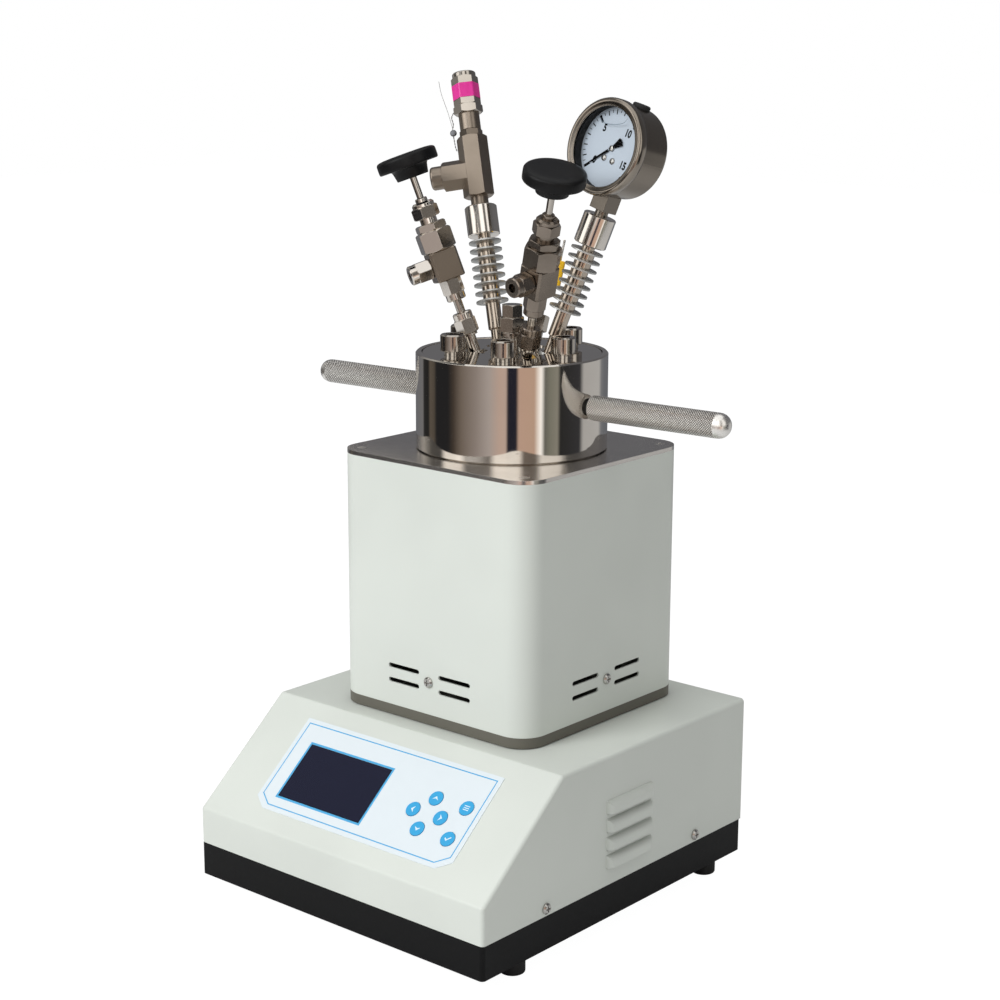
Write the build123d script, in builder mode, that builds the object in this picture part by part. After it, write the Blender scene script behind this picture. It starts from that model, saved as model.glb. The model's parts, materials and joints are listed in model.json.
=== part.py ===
from build123d import *
import os
from math import atan2, cos, degrees, hypot, radians, sin, tan

os.makedirs("parts", exist_ok=True)

# ---------------------------------------------------------------------------
# Driving dimensions, millimetres and degrees.
# X runs across the front panel, Y to the back, Z up; Z = 0 is the bench.
# ---------------------------------------------------------------------------
# base casing
base_width = 275.0
base_depth = 299.0
foot_height = 12.0
tray_height = 24.8
lip_height = 26.6
base_height = 120.5
panel_run = 82.6
sheet = 1.5
tray_sheet = 2.0
bend_radius = 3.0
rear_recess = 3.0
rear_panel_thickness = 2.0
slip = 0.3                     # gap between loose neighbours
fit = 0.08                     # radial play of turning and sliding fits
thread_play = 0.1              # radial play of screwed joints

# feet and screws
foot_diameter = 18.0
foot_boss = 6.0
foot_inset_x = 12.5
foot_front_inset = 45.0
foot_rear_inset = 30.0
casing_screw_head = 8.0
casing_screw_head_height = 2.2
casing_screw_shank = 4.0
casing_screw_length = 9.0
side_screw_rise = 5.6
side_screw_front = 65.4
side_screw_rear = 60.4

# louvres in both sides of the cover
louvre_count = 4
louvre_pitch = 13.5
louvre_length = 52.0
louvre_height = 9.4            # of one hood
louvre_reach = 4.4
louvre_wall = 1.0
louvre_round = 6.0             # how far the hood's ends curve in
louvre_first = 38.2            # lowest hood's mouth above the tray's underside
louvre_start = 131.3           # from the front of the base

# sloped control panel
overlay_width = 190.5
overlay_length = 77.9
overlay_start = 15.6
overlay_thickness = 0.5
overlay_chamfer_x = 11.5
overlay_chamfer_y = 8.0
screen_width = 80.4
screen_length = 45.4
screen_centre_x = -36.9
screen_centre_up = 51.1
screen_depth = 10.0
screen_proud = 0.2
key_diameter = 11.2
key_flange = 1.0
key_pad_x = 52.5
key_pad_up = 51.1
key_spread = 12.7
side_key_x = 80.6
key_length = 6.0
key_proud = 0.4
key_travel = 0.4
key_rest_gap = 0.2
board_width = 182.0
board_length = 64.0
board_thickness = 1.6
board_drop = 10.0
board_post = 6.0

# tower
tower_y = 40.0
tower_size = 181.8
tower_corner = 20.4
tower_plate_thickness = 7.6
tower_plate_gap = 0.7
tower_height = 181.0
tower_sheet = 1.5
top_plate_thickness = 3.0
top_screw_inset = 13.5
top_screw_head = 7.0
top_screw_shank = 3.6
top_screw_length = 10.0
top_screw_boss = 9.0
slot_length = 30.0
slot_height = 3.4
slot_pitch = 10.9
slot_rise = 18.8
slot_offset = 24.4
wire_hole = 15.0
wire_hole_x = 45.0             # clear of the motor bolted under the tower
plate_gap_inset = 4.0          # setback of the shadow gap under the tower

# pressure vessel and heater
vessel_turn = 2.5              # how far the vessel is turned round in its seat
head_diameter = 140.0
head_height = 69.1
head_chamfer = 1.0
shell_diameter = 100.0
shell_length = 136.0
seat_thickness = 1.0
seat_width = 14.0
seat_pull_back = 4.0
cavity_diameter = 64.0
floor_thickness = 18.0
lid_diameter = 130.6
lid_thickness = 24.0
lid_gap = 0.35
lid_drop = 0.4
seal_width = 4.0
seal_thickness = 2.0
liner_wall = 3.5
liner_floor = 5.0
liner_drop = 3.0
stir_bar_length = 34.0
stir_bar_diameter = 8.0
jacket_wall = 12.0
jacket_floor = 5.0
jacket_flange = 14.0
jacket_flange_thickness = 4.0
jacket_top_gap = 6.0
jacket_leg = 10.0
insulation_gap = 6.8              # air left between the insulation and the tower's sheet
motor_size = 60.0
motor_height = 24.0
motor_shaft = 6.0
motor_shaft_depth = 16.0
rotor_diameter = 66.0
rotor_thickness = 7.0
rotor_gap = 2.0
magnet_diameter = 14.0
magnet_height = 4.0
magnet_spread = 22.0

# lid bolts and handles
bolt_count = 6
bolt_circle = 92.0
bolt_size = 12.0
bolt_head = 18.0
bolt_head_height = 12.0
bolt_stand = 3.2
bolt_grip = 22.0
bolt_socket = 10.0
bolt_socket_depth = 6.0
handle_diameter = 18.0
handle_length = 113.5
handle_groove = 2.6
handle_groove_diameter = 13.0
handle_stud = 10.0
handle_stud_length = 12.0
handle_drop = 33.5

# ports in the lid
port_radius = 27.0
port_tilt = 20.0
port_thread = 10.0
port_thread_length = 12.0
port_spot = 17.0
port_spot_sink = 0.4           # how far the spot face lies under the lid at its high side
gland_flange = 14.0
gland_flange_thickness = 3.0
gland_neck = 8.0
gland_collar = 12.0
gland_collar_thickness = 1.6
gland_nose = 10.0
gland_nose_length = 11.0
tube_diameter = 6.35
tube_wall = 1.2
tube_nut_flats = 14.3
tube_nut_hex = 11.0
tube_nut_length = 16.0
tube_nut_lip = 3.0
tube_grip = 8.0
valve_a_azimuth, valve_a_face = 210.0, -125.0
valve_b_azimuth, valve_b_face = 330.0, -91.0
relief_azimuth, relief_face = 150.0, 212.0
gauge_azimuth, gauge_face = 30.0, -98.0
sensor_azimuth, sensor_face = 90.0, 40.0
valve_a_nut = 13.5
valve_b_nut = 8.5
valve_a_rise = 55.0
valve_b_rise = 50.0

# needle valves
valve_block = 21.0
valve_block_depth = 20.0
valve_block_height = 22.0
valve_block_chamfer = 1.6
outlet_height = 11.5
outlet_reach = 27.0
seat_bore = 4.2
union_flats = 24.0
union_hex = 15.0
union_collar_flats = 20.5
union_collar = 5.5
union_bore = 16.0
bonnet_neck = 12.5
bonnet_step = 10.4
bonnet_rise = 4.0
bonnet_tip = 9.0
bonnet_tip_rise = 3.0
packing_flats = 17.3
packing_hex = 8.5
packing_crown = 3.5
packing_crown_diameter = 16.4
needle_diameter = 3.8
needle_point = 4.0
needle_length = 34.0
stem_diameter = 5.0
stem_visible = 15.5
stem_pitch = 1.0
stem_turns = 5.0
wheel_diameter = 44.5
wheel_thickness = 10.0
wheel_round = 3.2
wheel_dish = 1.2
wheel_dish_margin = 5.0
wheel_hub = 23.5
wheel_hub_top = 27.0
wheel_hub_height = 8.0

# finned stems and their couplings
stem_tube = 11.0
stem_neck_top = 12.0
fin_count = 8
fin_pitch = 6.4
fin_diameter = 24.0
fin_thickness = 1.2
fin_start = 33.0
fin_core = 13.0
coupling_diameter = 24.0
coupling_length = 22.5
coupling_gap = 4.0
coupling_thread = 9.5
coupling_depth = 10.0
coupling_chamfer = 0.8

# relief valve
relief_neck = 7.2
relief_flats = 20.0
relief_length = 46.0
relief_outlet_height = 19.0
relief_outlet_flats = 19.5
relief_outlet_hex = 25.0
relief_outlet_end = 17.4
relief_outlet_reach = 34.0
relief_bore = 9.0
relief_bonnet_flats = 15.0
relief_bonnet_hex = 5.0
relief_bonnet_neck = 15.6
relief_bonnet_length = 12.5
relief_cap_flange_flats = 19.0
relief_cap_flange = 6.5
relief_cap_flats = 17.6
relief_cap_length = 25.0
relief_cap_dome = 3.5
wire_diameter = 0.8
lead_seal_diameter = 5.0
lead_seal_thickness = 2.4

# pressure gauge
gauge_nipple = 9.6
gauge_nipple_length = 3.7
gauge_square = 14.0
gauge_square_length = 12.0
gauge_case_diameter = 65.0
gauge_case_wall = 1.8
gauge_case_back = 9.5
gauge_case_front = 19.8
gauge_case_round = 3.0
gauge_bezel_diameter = 69.0
gauge_bezel_lip = 6.2
gauge_bezel_height = 8.0
gauge_bezel_front = 2.0
gauge_window_thickness = 2.0
gauge_dial_thickness = 0.8
gauge_dial_depth = 6.4
gauge_boss = 18.0
pointer_lift = 0.6
pointer_thickness = 0.8
pointer_hub = 5.0
pointer_reach = 24.0
pointer_tail = 9.0
pointer_width = 1.4
pointer_tail_width = 5.0
pointer_arbor = 1.6
pointer_arbor_depth = 8.0
gauge_sweep = 270.0
gauge_plug_diameter = 13.0
gauge_plug_height = 2.6

# central fitting and sensor
well_thread = 14.0
well_neck = 15.0
well_neck_height = 12.0
well_flange = 21.0
well_flange_thickness = 2.6
well_flats = 17.0
well_hex = 10.8
well_cap_flats = 14.3
well_cap_hex = 9.0
well_bore_depth = 30.0
sensor_flats = 11.0
sensor_hex_start = 12.0
sensor_hex = 12.0
sensor_sheath = 3.0
sensor_reach = 82.0
sensor_depth = 40.0
connector_start = 47.0
connector_length = 19.0
connector_width = 18.0
connector_thickness = 8.0
connector_pin_offset = 5.0

# mains inlet with switch
inlet_x = 88.0
inlet_rise = 58.0
inlet_flange_width = 32.0
inlet_flange_height = 60.0
inlet_flange_thickness = 2.2
inlet_body_width = 27.6
inlet_body_height = 47.6
inlet_body_depth = 24.0
socket_width = 24.0
socket_height = 16.6
socket_depth = 17.0
socket_drop = 11.0
socket_chamfer = 4.5
blade_width = 4.0
blade_thickness = 2.0
blade_length = 14.0
blade_pitch = 7.0
rocker_width = 13.0
rocker_height = 19.0
rocker_rise = 13.5
rocker_depth = 9.0
rocker_angle = 9.0
rocker_pin = 2.0
rocker_pin_length = 1.0

# ---------------------------------------------------------------------------
# Levels and planes that follow from the sizes
# ---------------------------------------------------------------------------
y_front = -base_depth / 2
y_back = base_depth / 2
z_tray = foot_height
z_cover = z_tray + tray_height
z_lip = z_cover + lip_height
z_base = z_tray + base_height
y_slope = y_front + panel_run
z_plate = z_base + tower_plate_gap
z_shell = z_plate + tower_plate_thickness
z_shell_top = z_shell + tower_height
z_top = z_shell_top + top_plate_thickness
z_head = z_top + seat_thickness
z_lid = z_head + head_height
z_bottom = z_head - shell_length
z_cavity = z_bottom + floor_thickness
z_lid_under = z_lid - lid_drop - lid_thickness
z_jacket = z_bottom - slip - jacket_floor
z_motor_top = z_shell + motor_height

panel_angle = degrees(atan2(z_base - z_lip, panel_run))
panel_length = hypot(z_base - z_lip, panel_run)
panel = Plane(
    origin=(0, y_front, z_lip),
    x_dir=(1, 0, 0),
    z_dir=(0, -sin(radians(panel_angle)), cos(radians(panel_angle))),
)
key_places = {
    "key_up": (key_pad_x, key_pad_up + key_spread),
    "key_down": (key_pad_x, key_pad_up - key_spread),
    "key_left": (key_pad_x - key_spread, key_pad_up),
    "key_right": (key_pad_x + key_spread, key_pad_up),
    "key_set": (side_key_x, key_pad_up + key_spread),
    "key_ok": (side_key_x, key_pad_up - key_spread),
}
board_places = [
    (x * (board_width / 2 - board_post), screen_centre_up + y * (board_length / 2 - board_post))
    for x in (-1, 1)
    for y in (-1, 1)
]


def port_plane(azimuth, face):
    """Plane on the lid at a port: Z along the leaning axis, X towards the side that the fitting faces."""
    around, turned_to, tilt = (radians(v) for v in (azimuth + vessel_turn, face, port_tilt))
    axis = Vector(sin(tilt) * cos(around), sin(tilt) * sin(around), cos(tilt))
    towards = Vector(cos(turned_to), sin(turned_to), 0)
    across = towards - axis * towards.dot(axis)
    spot = (port_radius * cos(around), tower_y + port_radius * sin(around), z_lid - lid_drop)
    return Plane(origin=spot, x_dir=across, z_dir=axis)


port_a = port_plane(valve_a_azimuth, valve_a_face)
port_b = port_plane(valve_b_azimuth, valve_b_face)
port_c = port_plane(relief_azimuth, relief_face)
port_d = port_plane(gauge_azimuth, gauge_face)
port_f = port_plane(sensor_azimuth, sensor_face)
ports = (port_a, port_b, port_c, port_d, port_f)
port_seat = -port_spot / 2 * tan(radians(port_tilt)) - port_spot_sink
valve_a = port_a.offset(valve_a_rise)
valve_b = port_b.offset(valve_b_rise)
centre = Plane(origin=(0, tower_y, z_lid - lid_drop))
tower = Plane(origin=(0, tower_y, 0))


def across_plane(plane, height):
    """Plane whose Z runs along the X of a port plane, at a height on its axis."""
    return Plane(origin=plane.from_local_coords((0, 0, height)), x_dir=plane.y_dir, z_dir=plane.x_dir)


def turned(*profile):
    """Solid of revolution about Z from (radius, height) points."""
    with BuildPart() as piece:
        with BuildSketch(Plane.XZ):
            with BuildLine():
                Polyline(*profile, close=True)
            make_face()
        revolve(axis=Axis.Z)
    return piece.part


def hexagon(flats, length, bore=0.0, turn=0.0):
    """Hexagonal bar on Z with its corners turned down at both ends, and a plain bore."""
    corner = flats / 2 / cos(radians(30))
    fall = (corner - flats / 2) * tan(radians(30)) + 0.15
    with BuildPart() as piece:
        with BuildSketch():
            RegularPolygon(flats / 2, 6, major_radius=False, rotation=turn)
        extrude(amount=length)
        with BuildSketch(Plane.XZ):
            with BuildLine():
                Polyline((0, 0), (flats / 2 - 0.2, 0), (corner + 0.1, fall), (corner + 0.1, length - fall),
                         (flats / 2 - 0.2, length), (0, length), close=True)
            make_face()
        revolve(axis=Axis.Z, mode=Mode.INTERSECT)
        if bore:
            Cylinder(bore / 2, 3 * length, mode=Mode.SUBTRACT)
    return piece.part


def finish(piece, label):
    """Label a finished sub-part and write it."""
    piece.part.label = label
    export_step(piece.part, f"parts/{label}.step")


# ---------------------------------------------------------------------------
# Base casing
# ---------------------------------------------------------------------------
foot_spots = [
    (x * (base_width / 2 - foot_inset_x), y)
    for x in (-1, 1)
    for y in (y_front + foot_front_inset, y_back - foot_rear_inset)
]

with BuildPart() as base_tray:
    with BuildSketch(Plane.XY.offset(z_tray)):
        with Locations((0, 0)):
            Rectangle(base_width, base_depth)
    extrude(amount=tray_height)
    fillet(base_tray.edges().filter_by(Axis.Z), bend_radius)
    with BuildSketch(Plane.XY.offset(z_tray + tray_sheet)):
        Rectangle(base_width - 2 * tray_sheet, base_depth - 2 * tray_sheet)
        fillet(vertices(), bend_radius - tray_sheet)
    extrude(amount=tray_height, mode=Mode.SUBTRACT)
    with BuildSketch(Plane.XY.offset(z_tray)):
        with Locations(*foot_spots):
            Circle(foot_boss / 2 + thread_play)
    extrude(amount=tray_sheet, mode=Mode.SUBTRACT)
finish(base_tray, "base_tray")

with BuildPart() as rubber_feet:
    with BuildSketch(Plane.XY):
        with Locations(*foot_spots):
            Circle(foot_diameter / 2)
    extrude(amount=foot_height)
    fillet(rubber_feet.edges().group_by(Axis.Z)[0], 1.5)
    with BuildSketch(Plane.XY.offset(foot_height)):
        with Locations(*foot_spots):
            Circle(foot_boss / 2)
    extrude(amount=tray_sheet)
finish(rubber_feet, "rubber_feet")


def louvre_hood(trim, root):
    """A hood with a curved back and curved ends: X outwards from the cover, mouth at Z 0 facing down."""
    reach, half, top = louvre_reach - trim, louvre_length / 2 - trim, louvre_height - trim
    low = -0.01 if trim == 0 else -1.0
    with BuildPart() as hood:
        with BuildSketch(Plane.XZ.offset(-half)):
            with BuildLine():
                Polyline((0, top), (-root, top), (-root, low), (reach, low), (reach, top * 0.3))
                ThreePointArc((reach, top * 0.3), (reach * 0.78, top * 0.74), (0, top))
            make_face()
        extrude(amount=2 * half)
        with BuildSketch(Plane.XY.offset(low)):
            with BuildLine():
                bend = louvre_round - trim
                Polyline((0, half), (-root, half), (-root, -half), (0, -half))
                ThreePointArc((0, -half), (reach * 0.72, -half + bend * 0.3), (reach, -half + bend))
                Line((reach, -half + bend), (reach, half - bend))
                ThreePointArc((reach, half - bend), (reach * 0.72, half - bend * 0.3), (0, half))
            make_face()
        extrude(amount=top - low, mode=Mode.INTERSECT)
    return hood.part


hood_outer = louvre_hood(0, sheet / 2)
hood_inner = louvre_hood(louvre_wall, 2 * sheet)


def cover_outline(inset, end):
    """Side outline of the cover in Y and Z, moved inwards by a sheet thickness."""
    drop = inset * tan(radians(panel_angle / 2))
    return [
        (y_front + inset, z_cover - end),
        (y_front + inset, z_lip - drop),
        (y_slope + drop, z_base - inset),
        (y_back + end, z_base - inset),
        (y_back + end, z_cover - end),
    ]


louvre_y = y_front + louvre_start + louvre_length / 2
louvre_heights = [z_tray + louvre_first + i * louvre_pitch for i in range(louvre_count)]
side_screw_spots = [
    (y_front + side_screw_front, z_cover + side_screw_rise),
    (y_back - side_screw_rear, z_cover + side_screw_rise),
]

with BuildPart() as base_cover:
    with BuildSketch(Plane.YZ.offset(-base_width / 2)):
        with BuildLine():
            Polyline(*cover_outline(0, 0), close=True)
        make_face()
    extrude(amount=base_width)
    fillet(
        [e for e in base_cover.edges() if e.center().Y < y_back - 1 and e.center().Z > z_cover + 1],
        bend_radius,
    )
    with BuildSketch(Plane.YZ.offset(-base_width / 2 + sheet)):
        with BuildLine():
            Polyline(*cover_outline(sheet, bend_radius), close=True)
        make_face()
    extrude(amount=base_width - 2 * sheet, mode=Mode.SUBTRACT)
    with BuildSketch(Plane.XY.offset(z_base - bend_radius)):
        with Locations((wire_hole_x, tower_y)):
            Circle(wire_hole / 2)
    extrude(amount=2 * bend_radius, mode=Mode.SUBTRACT)
    with BuildSketch(panel.offset(-2 * sheet)):
        with Locations((screen_centre_x, screen_centre_up)):
            Rectangle(screen_width + 2 * slip, screen_length + 2 * slip)
        with Locations(*key_places.values()):
            Circle(key_diameter / 2 + slip)
    extrude(amount=3 * sheet, mode=Mode.SUBTRACT)
    for side in (-1, 1):
        for height in louvre_heights:
            spot = Plane(
                origin=(side * base_width / 2, louvre_y, height), x_dir=(side, 0, 0), z_dir=(0, 0, 1)
            )
            with Locations(spot):
                add(hood_outer)
                add(hood_inner, mode=Mode.SUBTRACT)
        with BuildSketch(Plane.YZ.offset(side * (base_width / 2 - 2 * sheet))):
            with Locations(*side_screw_spots):
                Circle(casing_screw_shank / 2 + thread_play)
        extrude(amount=side * 3 * sheet, mode=Mode.SUBTRACT)
finish(base_cover, "base_cover")

y_rear_face = y_back - rear_recess
z_inlet = z_tray + inlet_rise
rear = Plane(origin=(inlet_x, y_rear_face, z_inlet), x_dir=(-1, 0, 0), z_dir=(0, 1, 0))
rear_height = z_base - sheet - slip - z_tray - tray_sheet
pivot = Plane(origin=(inlet_x, y_rear_face, z_inlet + rocker_rise), x_dir=(0, 1, 0), z_dir=(1, 0, 0))

with BuildPart() as rear_panel:
    with BuildSketch(Plane(origin=(0, y_rear_face, 0), x_dir=(-1, 0, 0), z_dir=(0, 1, 0))):
        with Locations((0, z_tray + tray_sheet + rear_height / 2)):
            Rectangle(base_width - 2 * tray_sheet - 2 * slip, rear_height)
    extrude(amount=-rear_panel_thickness)
    with BuildSketch(rear):
        Rectangle(inlet_body_width + 2 * slip, inlet_body_height + 2 * slip)
    extrude(amount=-rear_panel_thickness, mode=Mode.SUBTRACT)
finish(rear_panel, "rear_panel")

with BuildPart() as power_inlet:
    with BuildSketch(rear):
        RectangleRounded(inlet_flange_width, inlet_flange_height, 2.0)
    extrude(amount=inlet_flange_thickness)
    with BuildSketch(rear):
        Rectangle(inlet_body_width, inlet_body_height)
    extrude(amount=-inlet_body_depth)
    with BuildSketch(rear.offset(inlet_flange_thickness)):
        with Locations((0, -socket_drop)):
            Rectangle(socket_width, socket_height)
        chamfer(vertices().group_by(Axis.Y)[-1], socket_chamfer)
    extrude(amount=-socket_depth, mode=Mode.SUBTRACT)
    with BuildSketch(rear.offset(inlet_flange_thickness)):
        with Locations((0, rocker_rise)):
            Rectangle(rocker_width + 2 * slip, rocker_height + 2 * slip)
    extrude(amount=-inlet_flange_thickness - rocker_depth - 3 * slip, mode=Mode.SUBTRACT)
    with BuildSketch(rear.offset(inlet_flange_thickness - socket_depth)):
        with Locations((-blade_pitch, -socket_drop - 2), (blade_pitch, -socket_drop - 2),
                       (0, -socket_drop + 2)):
            Rectangle(blade_thickness, blade_width)
    extrude(amount=blade_length)
    with BuildSketch(pivot.offset(-rocker_width / 2 - slip - rocker_pin_length - fit)):
        Circle(rocker_pin / 2 + fit)
    extrude(amount=rocker_width + 2 * (slip + rocker_pin_length + fit), mode=Mode.SUBTRACT)
finish(power_inlet, "power_inlet")

rocker_half = rocker_height / 2
rocker_lift = inlet_flange_thickness + 0.6
rocker_dip = rocker_half * tan(radians(rocker_angle))
rocker_plane = pivot.rotated((-rocker_angle, 0, 0))   # switched off, upper half out
with BuildPart() as switch_rocker:
    with BuildSketch(rocker_plane.offset(-rocker_width / 2)):
        with BuildLine():
            Polyline((rocker_lift - rocker_dip, rocker_half - slip), (rocker_lift - 0.8, 0),
                     (rocker_lift - rocker_dip, -rocker_half + slip),
                     (-rocker_depth / 2, -rocker_half * 0.72), (-rocker_depth * 0.8, 0),
                     (-rocker_depth / 2, rocker_half * 0.72), close=True)
        make_face()
    extrude(amount=rocker_width)
    with BuildSketch(pivot.offset(-rocker_width / 2 - slip - rocker_pin_length)):
        Circle(rocker_pin / 2)
    extrude(amount=rocker_width + 2 * (slip + rocker_pin_length))
finish(switch_rocker, "switch_rocker")

# ---------------------------------------------------------------------------
# Control panel
# ---------------------------------------------------------------------------
with BuildPart() as control_overlay:
    with BuildSketch(panel):
        with Locations((0, overlay_start + overlay_length / 2)):
            Rectangle(overlay_width, overlay_length)
        with Locations((-overlay_width / 2, overlay_start), (overlay_width / 2, overlay_start)):
            Polygon((-overlay_chamfer_x, 0), (0, overlay_chamfer_y), (overlay_chamfer_x, 0),
                    (0, -overlay_chamfer_y), align=None, mode=Mode.SUBTRACT)
        with Locations((screen_centre_x, screen_centre_up)):
            Rectangle(screen_width + 2 * slip, screen_length + 2 * slip, mode=Mode.SUBTRACT)
        with Locations(*key_places.values()):
            Circle(key_diameter / 2 + slip, mode=Mode.SUBTRACT)
    extrude(amount=overlay_thickness)
finish(control_overlay, "control_overlay")

with BuildPart() as display_screen:
    with BuildSketch(panel.offset(overlay_thickness + screen_proud)):
        with Locations((screen_centre_x, screen_centre_up)):
            Rectangle(screen_width, screen_length)
    extrude(amount=-screen_depth - overlay_thickness - screen_proud)
finish(display_screen, "display_screen")

key_top = overlay_thickness + key_proud
key_foot = key_top - key_length
with BuildPart() as control_board:
    with BuildSketch(panel.offset(-board_drop)):
        with Locations((0, screen_centre_up)):
            Rectangle(board_width, board_length)
    extrude(amount=-board_thickness)
    with BuildSketch(panel.offset(-board_drop)):
        with Locations(*board_places):
            Circle(board_post / 2)
    extrude(amount=board_drop - sheet)
    with BuildSketch(panel.offset(-board_drop)):
        with Locations(*key_places.values()):
            Circle(board_post / 2)
    extrude(amount=board_drop + key_foot - key_travel - key_rest_gap)
finish(control_board, "control_board")

for name, spot in key_places.items():
    with BuildPart() as key:
        with BuildSketch(panel.offset(key_foot)):
            with Locations(spot):
                Circle(key_diameter / 2)
        extrude(amount=key_length)
        with BuildSketch(panel.offset(key_foot)):
            with Locations(spot):
                Circle(key_diameter / 2 + key_flange)
        extrude(amount=-sheet - slip - key_foot)
    finish(key, name)

# ---------------------------------------------------------------------------
# Tower
# ---------------------------------------------------------------------------
plate_boss_spots = [
    (x * (tower_size / 2 - top_screw_inset), y * (tower_size / 2 - top_screw_inset))
    for x in (-1, 1)
    for y in (-1, 1)
]
with BuildPart() as tower_base_plate:
    with BuildSketch(tower.offset(z_base)):
        RectangleRounded(
            tower_size - 2 * plate_gap_inset,
            tower_size - 2 * plate_gap_inset,
            tower_corner - plate_gap_inset,
        )
    extrude(amount=tower_plate_gap)
    with BuildSketch(tower.offset(z_plate)):
        RectangleRounded(tower_size, tower_size, tower_corner)
    extrude(amount=tower_plate_thickness)
    with BuildSketch(tower.offset(z_base)):
        with Locations((wire_hole_x, 0)):
            Circle(wire_hole / 2)
    extrude(amount=tower_plate_gap + tower_plate_thickness, mode=Mode.SUBTRACT)
finish(tower_base_plate, "tower_base_plate")

slot_places = [
    (x, z_shell + slot_rise + dz)
    for x in (-slot_offset, slot_offset)
    for dz in (0, slot_pitch)
]
face_screw_rise = z_shell + slot_rise + slot_pitch / 2
with BuildPart() as tower_shell:
    with BuildSketch(tower.offset(z_shell)):
        RectangleRounded(tower_size, tower_size, tower_corner)
        RectangleRounded(tower_size - 2 * tower_sheet, tower_size - 2 * tower_sheet,
                         tower_corner - tower_sheet, mode=Mode.SUBTRACT)
    extrude(amount=tower_height)
    for turn in range(4):
        face = Plane(tower.location * Rot(0, 0, 90 * turn) * Pos(0, -tower_size / 2, 0) * Rot(90, 0, 0))
        with BuildSketch(face.offset(tower_sheet)):
            with Locations(*slot_places):
                SlotOverall(slot_length, slot_height)
            with Locations((0, face_screw_rise)):
                Circle(casing_screw_shank / 2 + thread_play)
        extrude(amount=-3 * tower_sheet, mode=Mode.SUBTRACT)
finish(tower_shell, "tower_shell")

pan_head = turned(
    (0, -casing_screw_length), (casing_screw_shank / 2, -casing_screw_length),
    (casing_screw_shank / 2, 0), (casing_screw_head / 2, 0),
    (casing_screw_head / 2, casing_screw_head_height * 0.45),
    (casing_screw_head / 2 - 1.2, casing_screw_head_height), (0, casing_screw_head_height),
)
with BuildPart() as pan_screw:
    add(pan_head)
    with BuildSketch(Plane.XY.offset(casing_screw_head_height)):
        Rectangle(casing_screw_head * 0.55, 1.0)
        Rectangle(1.0, casing_screw_head * 0.55)
    extrude(amount=-1.2, mode=Mode.SUBTRACT)

with BuildPart() as casing_screws:
    for side in (-1, 1):
        for y, z in side_screw_spots:
            with Locations(Plane(origin=(side * base_width / 2, y, z), z_dir=(side, 0, 0))):
                add(pan_screw.part)
    for turn in range(4):
        with Locations(tower.location * Rot(0, 0, 90 * turn)
                       * Pos(0, -tower_size / 2, face_screw_rise) * Rot(90, 0, 0)):
            add(pan_screw.part)
finish(casing_screws, "casing_screws")

with BuildPart() as tower_top_plate:
    with BuildSketch(tower.offset(z_shell_top)):
        RectangleRounded(tower_size, tower_size, tower_corner)
        Circle(shell_diameter / 2 + seat_pull_back / 2, mode=Mode.SUBTRACT)
    extrude(amount=top_plate_thickness)
    with BuildSketch(tower.offset(z_shell_top)):
        with Locations(*plate_boss_spots):
            Circle(top_screw_boss / 2)
    extrude(amount=-top_screw_length)
    with Locations(*[tower.offset(z_top) * Pos(x, y, 0) for x, y in plate_boss_spots]):
        CounterSinkHole(top_screw_shank / 2 + thread_play, top_screw_head / 2 + thread_play,
                        depth=top_screw_length, counter_sink_angle=90)
finish(tower_top_plate, "tower_top_plate")

with BuildPart() as flat_screw:
    add(turned(
        (0, -top_screw_length + 1), (top_screw_shank / 2, -top_screw_length + 1),
        (top_screw_shank / 2, -(top_screw_head - top_screw_shank) / 2), (top_screw_head / 2, 0), (0, 0),
    ))
    with BuildSketch():
        RegularPolygon(1.3, 6)
    extrude(amount=-1.5, mode=Mode.SUBTRACT)
with BuildPart() as top_plate_screws:
    with Locations(*[tower.offset(z_top) * Pos(x, y, 0) for x, y in plate_boss_spots]):
        add(flat_screw.part)
finish(top_plate_screws, "top_plate_screws")

# ---------------------------------------------------------------------------
# Heater and stirring drive
# ---------------------------------------------------------------------------
jacket_radius = shell_diameter / 2 + slip + jacket_wall
insulation_thickness = tower_size / 2 - tower_sheet - insulation_gap - jacket_radius - slip
z_jacket_top = z_shell_top - jacket_top_gap
with BuildPart() as heater_jacket:
    with BuildSketch(tower.offset(z_jacket)):
        Circle(jacket_radius)
    extrude(amount=z_jacket_top - z_jacket)
    with BuildSketch(tower.offset(z_jacket)):
        Circle(jacket_radius + jacket_flange)
    extrude(amount=jacket_flange_thickness)
    with BuildSketch(tower.offset(z_jacket + jacket_floor)):
        Circle(shell_diameter / 2 + slip)
    extrude(amount=z_jacket_top - z_jacket, mode=Mode.SUBTRACT)
    with BuildSketch(tower.offset(z_shell)):
        with PolarLocations(jacket_radius, 4, 45):
            Circle(jacket_leg / 2)
    extrude(amount=z_jacket - z_shell)
finish(heater_jacket, "heater_jacket")

with BuildPart() as insulation:
    with BuildSketch(tower.offset(z_jacket + jacket_flange_thickness)):
        Circle(jacket_radius + slip + insulation_thickness)
        Circle(jacket_radius + slip, mode=Mode.SUBTRACT)
    extrude(amount=z_jacket_top - z_jacket - jacket_flange_thickness)
finish(insulation, "insulation")

with BuildPart() as stir_motor:
    with BuildSketch(tower.offset(z_shell)):
        RectangleRounded(motor_size, motor_size, 4.0)
    extrude(amount=motor_height)
    with BuildSketch(tower.offset(z_motor_top)):
        Circle(motor_shaft / 2 + fit)
    extrude(amount=-motor_shaft_depth - slip, mode=Mode.SUBTRACT)
finish(stir_motor, "stir_motor")

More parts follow.
